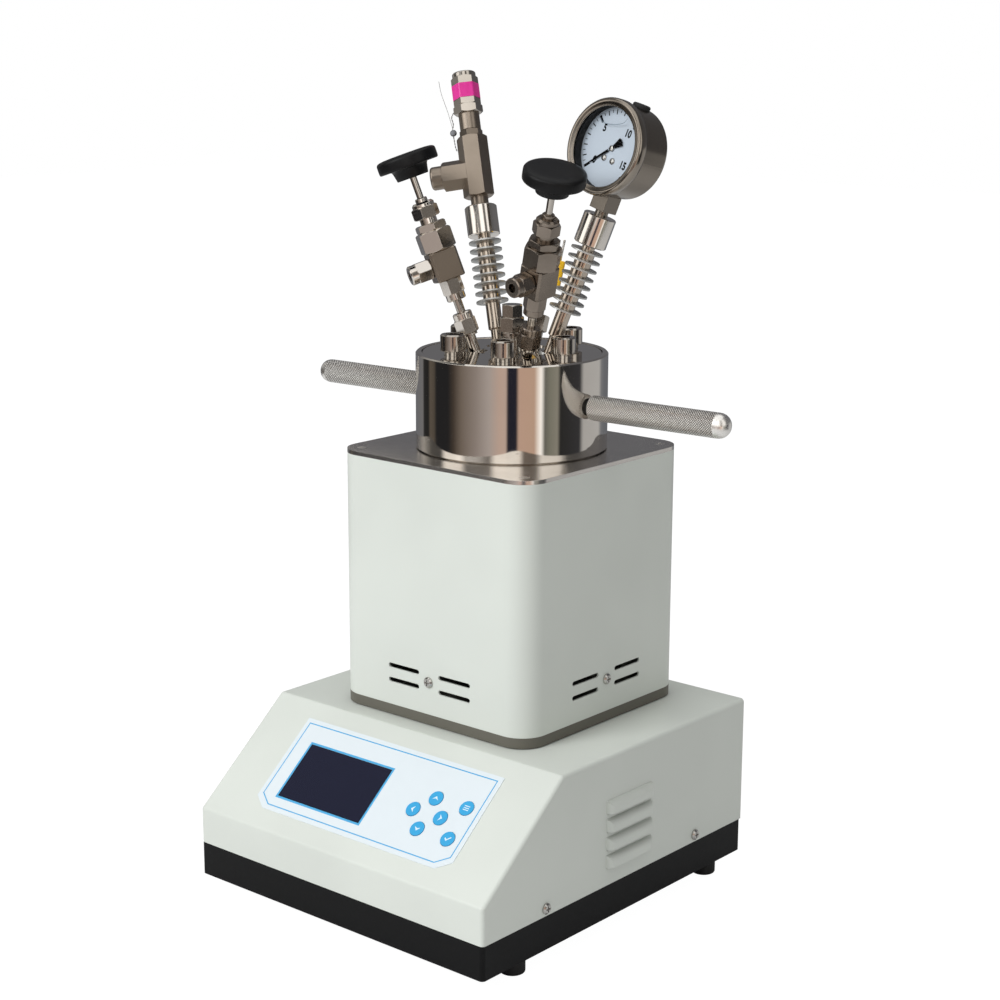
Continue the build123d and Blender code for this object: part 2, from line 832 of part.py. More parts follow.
z_rotor = z_motor_top + rotor_gap
with BuildPart() as magnet_rotor:
    with BuildSketch(tower.offset(z_rotor)):
        Circle(rotor_diameter / 2)
    extrude(amount=rotor_thickness)
    with BuildSketch(tower.offset(z_rotor + rotor_thickness)):
        with Locations((-magnet_spread, 0), (magnet_spread, 0)):
            Circle(magnet_diameter / 2)
    extrude(amount=magnet_height)
    with BuildSketch(tower.offset(z_rotor)):
        Circle(motor_shaft / 2)
    extrude(amount=-rotor_gap - motor_shaft_depth)
finish(magnet_rotor, "magnet_rotor")

with BuildPart() as vessel_seat:
    with BuildSketch(tower.offset(z_top)):
        Circle(head_diameter / 2 - seat_pull_back)
        Circle(head_diameter / 2 - seat_pull_back - seat_width, mode=Mode.SUBTRACT)
    extrude(amount=seat_thickness)
finish(vessel_seat, "vessel_seat")

# ---------------------------------------------------------------------------
# Pressure vessel
# ---------------------------------------------------------------------------
handle_z = z_lid - handle_drop
turn_x, turn_y = cos(radians(vessel_turn)), sin(radians(vessel_turn))
handle_planes = [
    Plane(origin=(0, tower_y, handle_z), z_dir=(turn_x, turn_y, 0)),
    Plane(origin=(0, tower_y, handle_z), z_dir=(-turn_x, -turn_y, 0)),
]
recess_radius = lid_diameter / 2 + lid_gap
seal_inner = cavity_diameter / 2
seal_outer = seal_inner + seal_width
z_thread_end = z_lid_under - bolt_grip

with BuildPart() as vessel_body:
    with BuildSketch(tower.offset(z_head)):
        Circle(head_diameter / 2)
    extrude(amount=head_height)
    chamfer(vessel_body.edges().group_by(Axis.Z)[-1], head_chamfer)
    with BuildSketch(tower.offset(z_bottom)):
        Circle(shell_diameter / 2)
    extrude(amount=z_head - z_bottom)
    chamfer(vessel_body.edges().group_by(Axis.Z)[0], 2.0)
    with BuildSketch(tower.offset(z_lid_under)):
        Circle(recess_radius)
    extrude(amount=z_lid - z_lid_under, mode=Mode.SUBTRACT)
    with BuildSketch(tower.offset(z_cavity)):
        Circle(cavity_diameter / 2)
    extrude(amount=z_lid_under - z_cavity, mode=Mode.SUBTRACT)
    with BuildSketch(tower.offset(z_lid_under)):
        Circle(seal_outer)
    extrude(amount=-seal_thickness, mode=Mode.SUBTRACT)
    with BuildSketch(tower.offset(z_lid_under)):
        with PolarLocations(bolt_circle / 2, bolt_count, vessel_turn):
            Circle(bolt_size / 2 + thread_play)
    extrude(amount=-bolt_grip - 1, mode=Mode.SUBTRACT)
    for plane in handle_planes:
        with BuildSketch(plane.offset(head_diameter / 2 - handle_stud_length - 1)):
            Circle(handle_stud / 2 + thread_play)
        extrude(amount=handle_stud_length + 2, mode=Mode.SUBTRACT)
finish(vessel_body, "vessel_body")

with BuildPart() as lid_seal:
    with BuildSketch(tower.offset(z_lid_under - seal_thickness)):
        Circle(seal_outer - thread_play)
        Circle(seal_inner, mode=Mode.SUBTRACT)
    extrude(amount=seal_thickness)
finish(lid_seal, "lid_seal")

with BuildPart() as vessel_lid:
    with BuildSketch(tower.offset(z_lid_under)):
        Circle(lid_diameter / 2)
    extrude(amount=lid_thickness)
    chamfer(vessel_lid.edges().group_by(Axis.Z)[-1], 0.5)
    with BuildSketch(tower.offset(z_lid_under)):
        with PolarLocations(bolt_circle / 2, bolt_count, vessel_turn):
            Circle(bolt_size / 2 + slip)
    extrude(amount=lid_thickness, mode=Mode.SUBTRACT)
    for plane in ports:
        with BuildSketch(plane.offset(port_seat)):
            Circle(port_spot / 2)
        extrude(amount=port_spot, mode=Mode.SUBTRACT)
        with BuildSketch(plane.offset(port_seat)):
            Circle(port_thread / 2 + thread_play)
        extrude(amount=-port_thread_length - 0.5, mode=Mode.SUBTRACT)
        with BuildSketch(plane.offset(port_seat)):
            Circle(tube_diameter / 2 - tube_wall)
        extrude(amount=-2 * lid_thickness, mode=Mode.SUBTRACT)
    with BuildSketch(centre):
        Circle(well_thread / 2 + thread_play)
    extrude(amount=-port_thread_length - 0.5, mode=Mode.SUBTRACT)
finish(vessel_lid, "vessel_lid")

with BuildPart() as cap_screw:
    with BuildSketch(Plane.XY):
        Circle(bolt_head / 2)
    extrude(amount=bolt_head_height)
    chamfer(cap_screw.edges().group_by(Axis.Z)[-1], 1.0)
    fillet(cap_screw.edges().group_by(Axis.Z)[0], 0.5)
    with BuildSketch(Plane.XY):
        Circle(bolt_size / 2)
    extrude(amount=-bolt_stand - lid_thickness - bolt_grip)
    with BuildSketch(Plane.XY.offset(bolt_head_height)):
        RegularPolygon(bolt_socket / 2, 6, major_radius=False)
    extrude(amount=-bolt_socket_depth, mode=Mode.SUBTRACT)
with BuildPart() as lid_bolts:
    with Locations(centre.offset(bolt_stand)):
        with PolarLocations(bolt_circle / 2, bolt_count, vessel_turn):
            add(cap_screw.part)
finish(lid_bolts, "lid_bolts")

with BuildPart() as handles:
    for plane in handle_planes:
        with BuildSketch(plane.offset(head_diameter / 2 - handle_stud_length)):
            Circle(handle_stud / 2)
        extrude(amount=handle_stud_length)
        with BuildSketch(plane.offset(head_diameter / 2)):
            Circle(handle_groove_diameter / 2)
        extrude(amount=handle_groove)
        with BuildSketch(plane.offset(head_diameter / 2 + handle_groove)):
            Circle(handle_diameter / 2)
        extrude(amount=handle_length)
    for plane in handle_planes:
        tip = handles.edges().sort_by(Axis(plane.origin, plane.z_dir))[-1]
        fillet(tip, handle_diameter / 2 - 1.0)
finish(handles, "handles")

liner_radius = cavity_diameter / 2 - slip
with BuildPart() as liner:
    with BuildSketch(tower.offset(z_cavity)):
        Circle(liner_radius)
    extrude(amount=z_lid_under - z_cavity - liner_drop)
    with BuildSketch(tower.offset(z_cavity + liner_floor)):
        Circle(liner_radius - liner_wall)
    extrude(amount=z_lid_under - z_cavity, mode=Mode.SUBTRACT)
finish(liner, "liner")

z_stir = z_cavity + liner_floor + slip + stir_bar_diameter / 2
with BuildPart() as stir_bar:
    with BuildSketch(Plane(origin=(-stir_bar_length / 2, tower_y, z_stir), z_dir=(1, 0, 0))):
        Circle(stir_bar_diameter / 2)
    extrude(amount=stir_bar_length)
    fillet(stir_bar.edges().filter_by(GeomType.CIRCLE), stir_bar_diameter / 2 - 0.5)
finish(stir_bar, "stir_bar")

# ---------------------------------------------------------------------------
# Tube fittings
# ---------------------------------------------------------------------------
bore_radius = tube_diameter / 2 + thread_play
inner_radius = tube_diameter / 2 - tube_wall


def gland(nut_start):
    """Port gland: thread below its seat, flange, thin neck, collar and a nose inside the tube nut."""
    nose_end = nut_start + gland_nose_length
    return turned(
        (inner_radius, port_seat - port_thread_length), (port_thread / 2, port_seat - port_thread_length),
        (port_thread / 2, port_seat), (gland_flange / 2, port_seat),
        (gland_flange / 2, port_seat + gland_flange_thickness),
        (gland_neck / 2, port_seat + gland_flange_thickness),
        (gland_neck / 2, nut_start - gland_collar_thickness - slip),
        (gland_collar / 2, nut_start - gland_collar_thickness - slip), (gland_collar / 2, nut_start - slip),
        (gland_nose / 2, nut_start - slip), (gland_nose / 2, nose_end),
        (bore_radius, nose_end), (bore_radius, nose_end - tube_grip), (inner_radius, nose_end - tube_grip),
    )


with BuildPart() as tube_nut:
    add(hexagon(tube_nut_flats, tube_nut_hex))
    with BuildSketch(Plane.XY.offset(tube_nut_hex - 1)):
        Circle(tube_nut_flats / 2)
    extrude(amount=tube_nut_length - tube_nut_hex + 1)
    chamfer(tube_nut.edges().group_by(Axis.Z)[-1], 0.8)
    with BuildSketch(Plane.XY):
        Circle(gland_nose / 2 + thread_play)
    extrude(amount=tube_nut_length - tube_nut_lip, mode=Mode.SUBTRACT)
    with BuildSketch(Plane.XY):
        Circle(bore_radius)
    extrude(amount=tube_nut_length, mode=Mode.SUBTRACT)

outlet_start = outlet_reach - tube_nut_length
nut_a = port_a.offset(valve_a_nut)
nut_b = port_b.offset(valve_b_nut)
outlet_a = across_plane(valve_a, outlet_height)
outlet_b = across_plane(valve_b, outlet_height)


def upside_down(plane):
    """The same plane with its Z turned round."""
    return Plane(origin=plane.origin, x_dir=plane.x_dir, z_dir=-plane.z_dir)


with BuildPart() as port_glands:
    with Locations(port_a):
        add(gland(valve_a_nut))
    with Locations(port_b):
        add(gland(valve_b_nut))
finish(port_glands, "port_glands")

with BuildPart() as tube_nuts:
    with Locations(nut_a, nut_b, upside_down(valve_a), upside_down(valve_b),
                   outlet_a.offset(outlet_start), outlet_b.offset(outlet_start)):
        add(tube_nut.part)
finish(tube_nuts, "tube_nuts")

with BuildPart() as riser_tubes:
    for plane, nut, rise in ((port_a, valve_a_nut, valve_a_rise), (port_b, valve_b_nut, valve_b_rise)):
        foot = nut + gland_nose_length - tube_grip
        with BuildSketch(plane.offset(foot)):
            Circle(tube_diameter / 2)
            Circle(inner_radius, mode=Mode.SUBTRACT)
        extrude(amount=rise - gland_nose_length + tube_grip - foot)
finish(riser_tubes, "riser_tubes")

# ---------------------------------------------------------------------------
# Needle valves, both alike
# ---------------------------------------------------------------------------
union_top = valve_block_height + union_hex + union_collar
packing_start = union_top + bonnet_rise
packing_top = packing_start + packing_hex + packing_crown
bonnet_top = packing_top + bonnet_tip_rise
hub_start = bonnet_top + stem_visible
needle_top = outlet_height - needle_point + needle_length
stem_start = needle_top + slip
travel = stem_pitch * stem_turns

with BuildPart() as valve_block_part:
    with BuildSketch():
        Rectangle(valve_block, valve_block_depth)
    extrude(amount=valve_block_height)
    chamfer(valve_block_part.edges().filter_by(Axis.Z), valve_block_chamfer)
    chamfer(valve_block_part.edges().group_by(Axis.Z)[-1], 0.8)
    chamfer(valve_block_part.edges().group_by(Axis.Z)[0], 0.8)
    with BuildSketch():
        Circle(gland_nose / 2)
    extrude(amount=-gland_nose_length)
    with BuildSketch(Plane.YZ.offset(0)):
        with Locations((0, outlet_height)):
            Circle(gland_nose / 2)
    extrude(amount=outlet_reach - tube_nut_lip - 2)
    with BuildSketch(Plane.XY.offset(valve_block_height)):
        Circle(union_bore / 2 - thread_play)
    extrude(amount=union_hex - 3)
    # flow bores: up from the tube, then out to the side
    with BuildSketch(Plane.XY.offset(-gland_nose_length)):
        Circle(bore_radius)
    extrude(amount=tube_grip, mode=Mode.SUBTRACT)
    with BuildSketch(Plane.XY.offset(-gland_nose_length)):
        Circle(inner_radius)
    extrude(amount=gland_nose_length + outlet_height, mode=Mode.SUBTRACT)
    with BuildSketch(Plane.XY.offset(outlet_height - needle_point)):
        Circle(needle_diameter / 2 + fit)
    extrude(amount=valve_block_height + union_hex, mode=Mode.SUBTRACT)
    with BuildSketch(Plane.YZ):
        with Locations((0, outlet_height)):
            Circle(inner_radius)
    extrude(amount=outlet_reach, mode=Mode.SUBTRACT)
    with BuildSketch(Plane.YZ.offset(outlet_reach - tube_nut_lip - 2 - tube_grip)):
        with Locations((0, outlet_height)):
            Circle(bore_radius)
    extrude(amount=tube_grip, mode=Mode.SUBTRACT)

with BuildPart() as valve_bodies:
    with Locations(valve_a, valve_b):
        add(valve_block_part.part)
finish(valve_bodies, "valve_bodies")

with BuildPart() as union_nut:
    add(hexagon(union_flats, union_hex, turn=30))
    with Locations((0, 0, union_hex)):
        add(hexagon(union_collar_flats, union_collar, turn=30))
    with BuildSketch():
        Circle(union_bore / 2)
    extrude(amount=union_hex - 2, mode=Mode.SUBTRACT)
    with BuildSketch():
        Circle(bonnet_neck / 2 + thread_play)
    extrude(amount=union_hex + union_collar, mode=Mode.SUBTRACT)
with BuildPart() as union_nuts:
    with Locations(valve_a.offset(valve_block_height), valve_b.offset(valve_block_height)):
        add(union_nut.part)
finish(union_nuts, "union_nuts")

needle_bore = needle_diameter / 2 + fit
stem_bore = stem_diameter / 2 + fit
bonnet_foot = valve_block_height + union_hex - 3
bonnet_shape = turned(
    (needle_bore, bonnet_foot), (bonnet_neck / 2, bonnet_foot), (bonnet_neck / 2, packing_start),
    (bonnet_step / 2, packing_start), (bonnet_step / 2, packing_top - 2), (bonnet_tip / 2, packing_top - 2),
    (bonnet_tip / 2, bonnet_top - 0.6), (bonnet_tip / 2 - 0.6, bonnet_top), (stem_bore, bonnet_top),
    (stem_bore, needle_top - 0.1), (needle_bore, needle_top - 0.1),
)
with BuildPart() as valve_bonnets:
    with Locations(valve_a, valve_b):
        add(bonnet_shape)
finish(valve_bonnets, "valve_bonnets")

with BuildPart() as packing_nut:
    add(hexagon(packing_flats, packing_hex))
    with BuildSketch(Plane.XY.offset(packing_hex - 1)):
        Circle(packing_crown_diameter / 2)
    extrude(amount=packing_crown + 1)
    chamfer(packing_nut.edges().group_by(Axis.Z)[-1], 1.4)
    with BuildSketch():
        Circle(bonnet_step / 2 + thread_play)
    extrude(amount=packing_hex + packing_crown - 2, mode=Mode.SUBTRACT)
    with BuildSketch():
        Circle(bonnet_tip / 2 + thread_play)
    extrude(amount=packing_hex + packing_crown, mode=Mode.SUBTRACT)
with BuildPart() as packing_nuts:
    with Locations(valve_a.offset(packing_start), valve_b.offset(packing_start)):
        add(packing_nut.part)
finish(packing_nuts, "packing_nuts")

needle_foot = outlet_height - needle_point
needle_shape = turned(
    (0, needle_foot + slip), (0.8, needle_foot + slip), (needle_diameter / 2, needle_foot + needle_point),
    (needle_diameter / 2, needle_top), (0, needle_top),
)
stem_top = hub_start + wheel_hub_height + wheel_thickness - wheel_dish - 3.0
stem_shape = turned(
    (0, stem_start), (stem_diameter / 2, stem_start), (stem_diameter / 2, stem_top), (0, stem_top),
)
wheel_foot = hub_start
wheel_under = hub_start + wheel_hub_height
wheel_top = wheel_under + wheel_thickness
with BuildPart() as wheel:
    with BuildSketch(Plane.XZ):
        with BuildLine():
            Polyline(
                (stem_diameter / 2, wheel_foot), (wheel_hub / 2 - 1, wheel_foot),
                (wheel_hub / 2, wheel_foot + 1), (wheel_hub_top / 2, wheel_under),
                (wheel_diameter / 2, wheel_under), (wheel_diameter / 2, wheel_top),
                (wheel_diameter / 2 - wheel_dish_margin, wheel_top),
                (wheel_diameter / 2 - wheel_dish_margin - wheel_dish, wheel_top - wheel_dish),
                (0, wheel_top - wheel_dish), (0, stem_top), (stem_diameter / 2, stem_top), close=True,
            )
        make_face()
    revolve(axis=Axis.Z)
    rim = wheel.edges().filter_by(GeomType.CIRCLE).filter_by(lambda e: abs(e.radius - wheel_diameter / 2) < 0.01)
    fillet(rim, wheel_round)

for name, plane in (("valve_a", valve_a), ("valve_b", valve_b)):
    with BuildPart() as needle:
        with Locations(plane):
            add(needle_shape)
    finish(needle, f"{name}_needle")
    with BuildPart() as stem:
        with Locations(plane):
            add(stem_shape)
    finish(stem, f"{name}_stem")
    with BuildPart() as handwheel:
        with Locations(plane):
            add(wheel.part)
    finish(handwheel, f"{name}_handwheel")

# ---------------------------------------------------------------------------
# Finned stems and couplings
# ---------------------------------------------------------------------------
fin_end = fin_start + (fin_count - 1) * fin_pitch + fin_thickness
coupling_start = fin_end + coupling_gap
coupling_end = coupling_start + coupling_length
with BuildPart() as cooling_stem:
    add(turned(
        (inner_radius, port_seat - port_thread_length), (port_thread / 2, port_seat - port_thread_length),
        (port_thread / 2, port_seat), (gland_flange / 2, port_seat),
        (gland_flange / 2, port_seat + gland_flange_thickness),
        (gland_neck / 2, port_seat + gland_flange_thickness), (gland_neck / 2, stem_neck_top),
        (stem_tube / 2, stem_neck_top + 1), (stem_tube / 2, fin_start), (fin_core / 2, fin_start),
        (fin_core / 2, fin_end), (coupling_thread / 2, fin_end),
        (coupling_thread / 2, coupling_start + coupling_depth), (inner_radius, coupling_start + coupling_depth),
    ))
    for i in range(fin_count):
        with BuildSketch(Plane.XY.offset(fin_start + i * fin_pitch)):
            Circle(fin_diameter / 2)
            Circle(fin_core / 2 - 0.5, mode=Mode.SUBTRACT)
        extrude(amount=fin_thickness)
with BuildPart() as cooling_stems:
    with Locations(port_c, port_d):
        add(cooling_stem.part)
finish(cooling_stems, "cooling_stems")

with BuildPart() as coupling:
    with BuildSketch(Plane.XY.offset(coupling_start)):
        Circle(coupling_diameter / 2)
    extrude(amount=coupling_length)
    chamfer(coupling.edges(), coupling_chamfer)
    with BuildSketch(Plane.XY.offset(coupling_start)):
        Circle(coupling_thread / 2 + thread_play)
    extrude(amount=coupling_length, mode=Mode.SUBTRACT)
with BuildPart() as stem_couplings:
    with Locations(port_c, port_d):
        add(coupling.part)
finish(stem_couplings, "stem_couplings")

# ---------------------------------------------------------------------------
# Relief valve
# ---------------------------------------------------------------------------
relief_start = coupling_end + relief_neck
relief_top = relief_start + relief_length
bonnet_hex_top = relief_top + relief_bonnet_hex
relief_cap_start = bonnet_hex_top + relief_bonnet_length
relief_outlet = relief_start + relief_outlet_height

with BuildPart() as relief_shape:
    with Locations((0, 0, relief_start)):
        add(hexagon(relief_flats, relief_length, turn=0))
    with BuildSketch(Plane.XY.offset(coupling_end - coupling_depth)):
        Circle(coupling_thread / 2)
    extrude(amount=coupling_depth + relief_neck)
    with BuildSketch(Plane.XY.offset(coupling_end)):
        Circle(coupling_thread / 2 + 1.8)
    extrude(amount=relief_neck)
    with Locations(Plane(origin=(0, 0, relief_outlet), x_dir=(0, 1, 0), z_dir=(1, 0, 0))):
        add(hexagon(relief_outlet_flats, relief_outlet_hex, turn=30))
    with BuildSketch(Plane.YZ):
        with Locations((0, relief_outlet)):
            Circle(relief_outlet_end / 2)
    extrude(amount=relief_outlet_reach)
    fillet(relief_shape.edges().group_by(Axis.X)[-1], 2.2)
    with Locations((0, 0, relief_top)):
        add(hexagon(relief_bonnet_flats, relief_bonnet_hex, turn=15))
    with BuildSketch(Plane.XY.offset(bonnet_hex_top)):
        Circle(relief_bonnet_neck / 2)
    extrude(amount=relief_bonnet_length)
    with BuildSketch(Plane.XY.offset(relief_cap_start)):
        Circle(coupling_thread / 2)
    extrude(amount=relief_cap_flange + relief_cap_length / 3)
    with BuildSketch(Plane.XY.offset(coupling_end - coupling_depth)):
        Circle(inner_radius)
    extrude(amount=relief_outlet - coupling_end + coupling_depth, mode=Mode.SUBTRACT)
    with BuildSketch(Plane.YZ):
        with Locations((0, relief_outlet)):
            Circle(relief_bore / 2)
    extrude(amount=relief_outlet_reach, mode=Mode.SUBTRACT)
with BuildPart() as relief_body:
    with Locations(port_c):
        add(relief_shape.part)
finish(relief_body, "relief_body")

relief_cap_top = relief_cap_start + relief_cap_flange + relief_cap_length
with BuildPart() as cap_shape:
    with Locations((0, 0, relief_cap_start)):
        add(hexagon(relief_cap_flange_flats, relief_cap_flange, turn=10))
    with Locations((0, 0, relief_cap_start + relief_cap_flange - 0.5)):
        add(hexagon(relief_cap_flats, relief_cap_length - relief_cap_dome + 0.5, turn=10))
    with BuildSketch(Plane.XY.offset(relief_cap_top - relief_cap_dome - 1)):
        Circle(relief_cap_flats / 2)
    extrude(amount=relief_cap_dome + 1)
    fillet(cap_shape.edges().group_by(Axis.Z)[-1], 1.2)
    with BuildSketch(Plane.XY.offset(relief_cap_start)):
        Circle(coupling_thread / 2 + thread_play)
    extrude(amount=relief_cap_flange + relief_cap_length / 3 + 1, mode=Mode.SUBTRACT)
with BuildPart() as relief_cap:
    with Locations(port_c):
        add(cap_shape.part)
finish(relief_cap, "relief_cap")

flange_corner = relief_cap_flange_flats / 2 / cos(radians(30)) + wire_diameter / 2
body_corner = relief_flats / 2 / cos(radians(30)) + wire_diameter / 2
seal_x = relief_flats / 2 + 3.2
wire_runs = [
    [(flange_corner, 0, relief_cap_start + 3.0), (seal_x, 0, relief_cap_start - 1.0),
     (seal_x - 0.6, 0, relief_top + 8.0), (seal_x + 0.4, 0, relief_top + 1.0),
     (body_corner, 0, relief_top - 9.0)],
    [(seal_x - 0.4, 0, relief_top + 6.0), (seal_x + 1.4, 0, relief_top + 14.0),
     (seal_x + 6.0, 0, relief_cap_top - 3.0)],
]
with BuildPart() as wire_shape:
    for run in wire_runs:
        with BuildLine() as path:
            FilletPolyline(*run, radius=2.5)
        with BuildSketch(Plane(origin=path.line @ 0, z_dir=path.line % 0)):
            Circle(wire_diameter / 2)
        sweep(path=path.line)
    with Locations(Plane(origin=(seal_x, 0, relief_top + 5.0), z_dir=(0, 1, 0))):
        Cylinder(lead_seal_diameter / 2, lead_seal_thickness)
with BuildPart() as seal_wire:
    with Locations(port_c):
        add(wire_shape.part)
finish(seal_wire, "seal_wire")

# ---------------------------------------------------------------------------
# Pressure gauge: the axis of the case runs along the X of its port plane
# ---------------------------------------------------------------------------
square_start = coupling_end + gauge_nipple_length
case_centre = square_start + gauge_square_length + gauge_case_diameter / 2 - 0.6
gauge = across_plane(port_d, case_centre)
dial_front = gauge_case_front - gauge_dial_depth
dial_back = dial_front - gauge_dial_thickness

with BuildPart() as gauge_case:
    with BuildSketch(gauge.offset(-gauge_case_back)):
        Circle(gauge_case_diameter / 2)
    extrude(amount=gauge_case_back + gauge_case_front)
    rear_rim = gauge_case.edges().sort_by(Axis(gauge.origin, gauge.z_dir))[0]
    fillet(rear_rim, gauge_case_round)
    with BuildSketch(gauge.offset(-gauge_case_back + gauge_case_wall)):
        Circle(gauge_case_diameter / 2 - gauge_case_wall)
    extrude(amount=gauge_case_back + gauge_case_front, mode=Mode.SUBTRACT)
    with BuildSketch(gauge.offset(-gauge_case_back + gauge_case_wall / 2)):
        Circle(gauge_boss / 2)
    extrude(amount=gauge_case_back - gauge_case_wall / 2 + dial_back)
    with BuildSketch(port_d.offset(square_start)):
        Rectangle(gauge_square, gauge_square)
    extrude(amount=gauge_square_length)
    with BuildSketch(port_d.offset(coupling_end - coupling_depth)):
        Circle(coupling_thread / 2)
    extrude(amount=coupling_depth + gauge_nipple_length)
    with BuildSketch(gauge.offset(dial_back)):
        Circle(pointer_arbor / 2 + fit)
    extrude(amount=-pointer_arbor_depth - slip, mode=Mode.SUBTRACT)
finish(gauge_case, "gauge_case")

window_back = gauge_case_front + 0.2
window_front = window_back + gauge_window_thickness
bezel_back = window_front + gauge_bezel_front - gauge_bezel_height
with BuildPart() as gauge_bezel:
    with BuildSketch(gauge.offset(bezel_back)):
        Circle(gauge_bezel_diameter / 2)
    extrude(amount=gauge_bezel_height)
    front_rim = gauge_bezel.edges().sort_by(Axis(gauge.origin, gauge.z_dir))[-1]
    fillet(front_rim, 1.8)
    with BuildSketch(gauge.offset(bezel_back)):
        Circle(gauge_case_diameter / 2 + thread_play)
    extrude(amount=window_front - bezel_back, mode=Mode.SUBTRACT)
    with BuildSketch(gauge.offset(bezel_back)):
        Circle(gauge_bezel_diameter / 2 - gauge_bezel_lip)
    extrude(amount=gauge_bezel_height, mode=Mode.SUBTRACT)
finish(gauge_bezel, "gauge_bezel")

with BuildPart() as gauge_window:
    with BuildSketch(gauge.offset(window_back)):
        Circle(gauge_case_diameter / 2 - thread_play)
    extrude(amount=gauge_window_thickness)
finish(gauge_window, "gauge_window")

with BuildPart() as gauge_dial:
    with BuildSketch(gauge.offset(dial_back)):
        Circle(gauge_case_diameter / 2 - gauge_case_wall - thread_play)
        Circle(pointer_arbor / 2 + fit, mode=Mode.SUBTRACT)
    extrude(amount=gauge_dial_thickness)
finish(gauge_dial, "gauge_dial")

dial_plane = Plane(origin=gauge.origin + gauge.z_dir * (dial_front + pointer_lift),
                   x_dir=port_d.z_dir.cross(gauge.z_dir), z_dir=gauge.z_dir)
with BuildPart() as gauge_pointer:
    with BuildSketch(dial_plane) as pointer_sketch:
        Circle(pointer_hub / 2)
        with Locations(Rot(0, 0, 90 + gauge_sweep / 2)):
            Polygon((0, -pointer_width), (pointer_reach, -0.3), (pointer_reach, 0.3),
                    (0, pointer_width), align=None)
            Polygon((0, -pointer_width / 2), (0, pointer_width / 2),
                    (-pointer_tail, pointer_tail_width / 2), (-pointer_tail, -pointer_tail_width / 2),
                    align=None)
    extrude(amount=pointer_thickness)
    with BuildSketch(dial_plane):
        Circle(pointer_arbor / 2)
    extrude(amount=-pointer_lift - gauge_dial_thickness - pointer_arbor_depth)
finish(gauge_pointer, "gauge_pointer")

with BuildPart() as gauge_plug:
    with BuildSketch(port_d.offset(case_centre)):
        Circle(gauge_plug_diameter / 2)
    extrude(amount=gauge_case_diameter / 2 + gauge_plug_height)
    chamfer(gauge_plug.edges().sort_by(Axis(port_d.origin, port_d.z_dir))[-1], 0.8)
    with BuildSketch(gauge.offset(-gauge_case_diameter)):
        Circle(gauge_case_diameter / 2)
    extrude(amount=2 * gauge_case_diameter, mode=Mode.SUBTRACT)
finish(gauge_plug, "gauge_plug")

# ---------------------------------------------------------------------------
# Central fitting and sensor
# ---------------------------------------------------------------------------
with BuildPart() as well_shape:
    with BuildSketch(Plane.XY.offset(-port_thread_length)):
        Circle(well_thread / 2)
    extrude(amount=port_thread_length)
    with BuildSketch():
        Circle(well_neck / 2)
    extrude(amount=well_neck_height)
    with BuildSketch(Plane.XY.offset(well_neck_height)):
        Circle(well_flange / 2)
    extrude(amount=well_flange_thickness)
    with Locations((0, 0, well_neck_height + well_flange_thickness)):
        add(hexagon(well_flats, well_hex, turn=12))
    with Locations((0, 0, well_neck_height + well_flange_thickness + well_hex)):
        add(hexagon(well_cap_flats, well_cap_hex, turn=12))
with BuildPart() as thermowell_fitting:
    with Locations(centre):
        add(well_shape.part)
finish(thermowell_fitting, "thermowell_fitting")

with BuildPart() as sensor_shape:
    add(turned(
        (0, -sensor_depth), (tube_diameter / 2 - tube_wall - fit, -sensor_depth),
        (tube_diameter / 2 - tube_wall - fit, port_seat - port_thread_length),
        (port_thread / 2, port_seat - port_thread_length),
        (port_thread / 2, port_seat), (gland_flange / 2, port_seat),
        (gland_flange / 2, port_seat + gland_flange_thickness),
        (gland_neck / 2, port_seat + gland_flange_thickness), (gland_neck / 2, sensor_hex_start),
        (sensor_sheath / 2, sensor_hex_start), (sensor_sheath / 2, connector_start), (0, connector_start),
    ))
    with Locations((0, 0, sensor_hex_start)):
        add(hexagon(sensor_flats, sensor_hex))
with BuildPart() as thermocouple:
    with Locations(port_f):
        add(sensor_shape.part)
finish(thermocouple, "thermocouple")

with BuildPart() as connector_shape:
    with BuildSketch(Plane.XY.offset(connector_start)):
        RectangleRounded(connector_width, connector_thickness, 1.5)
    extrude(amount=connector_length)
    fillet(connector_shape.edges().group_by(Axis.Z)[-1], 1.0)
    with BuildSketch(Plane.XY.offset(connector_start + connector_length)):
        with Locations((connector_pin_offset, 0)):
            Circle(sensor_sheath / 4)
    extrude(amount=sensor_reach - connector_start - connector_length)
with BuildPart() as sensor_connector:
    with Locations(port_f):
        add(connector_shape.part)
finish(sensor_connector, "sensor_connector")
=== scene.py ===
"""Finishes, fine pieces, light and camera for a bench-top hydrothermal reactor."""

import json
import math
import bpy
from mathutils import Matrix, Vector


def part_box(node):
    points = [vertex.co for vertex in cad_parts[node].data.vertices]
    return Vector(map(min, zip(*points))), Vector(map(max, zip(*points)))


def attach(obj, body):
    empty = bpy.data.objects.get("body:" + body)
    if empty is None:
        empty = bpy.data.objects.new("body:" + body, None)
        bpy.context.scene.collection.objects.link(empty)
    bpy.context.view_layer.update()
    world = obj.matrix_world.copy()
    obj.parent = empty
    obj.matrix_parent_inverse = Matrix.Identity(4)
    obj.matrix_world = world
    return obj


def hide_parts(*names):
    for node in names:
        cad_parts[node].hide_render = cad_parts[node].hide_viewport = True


bl_info = {
    "name": "Hydrothermal Reactor",
    "version": (1, 0, 0),
    "blender": (4, 5, 0),
    "location": "View3D > Sidebar > Reactor",
    "description": "Dresses the reactor's solids with finishes and fine pieces, and stages them",
    "category": "Object",
}

import bmesh
import bpy
from mathutils import Matrix, Vector

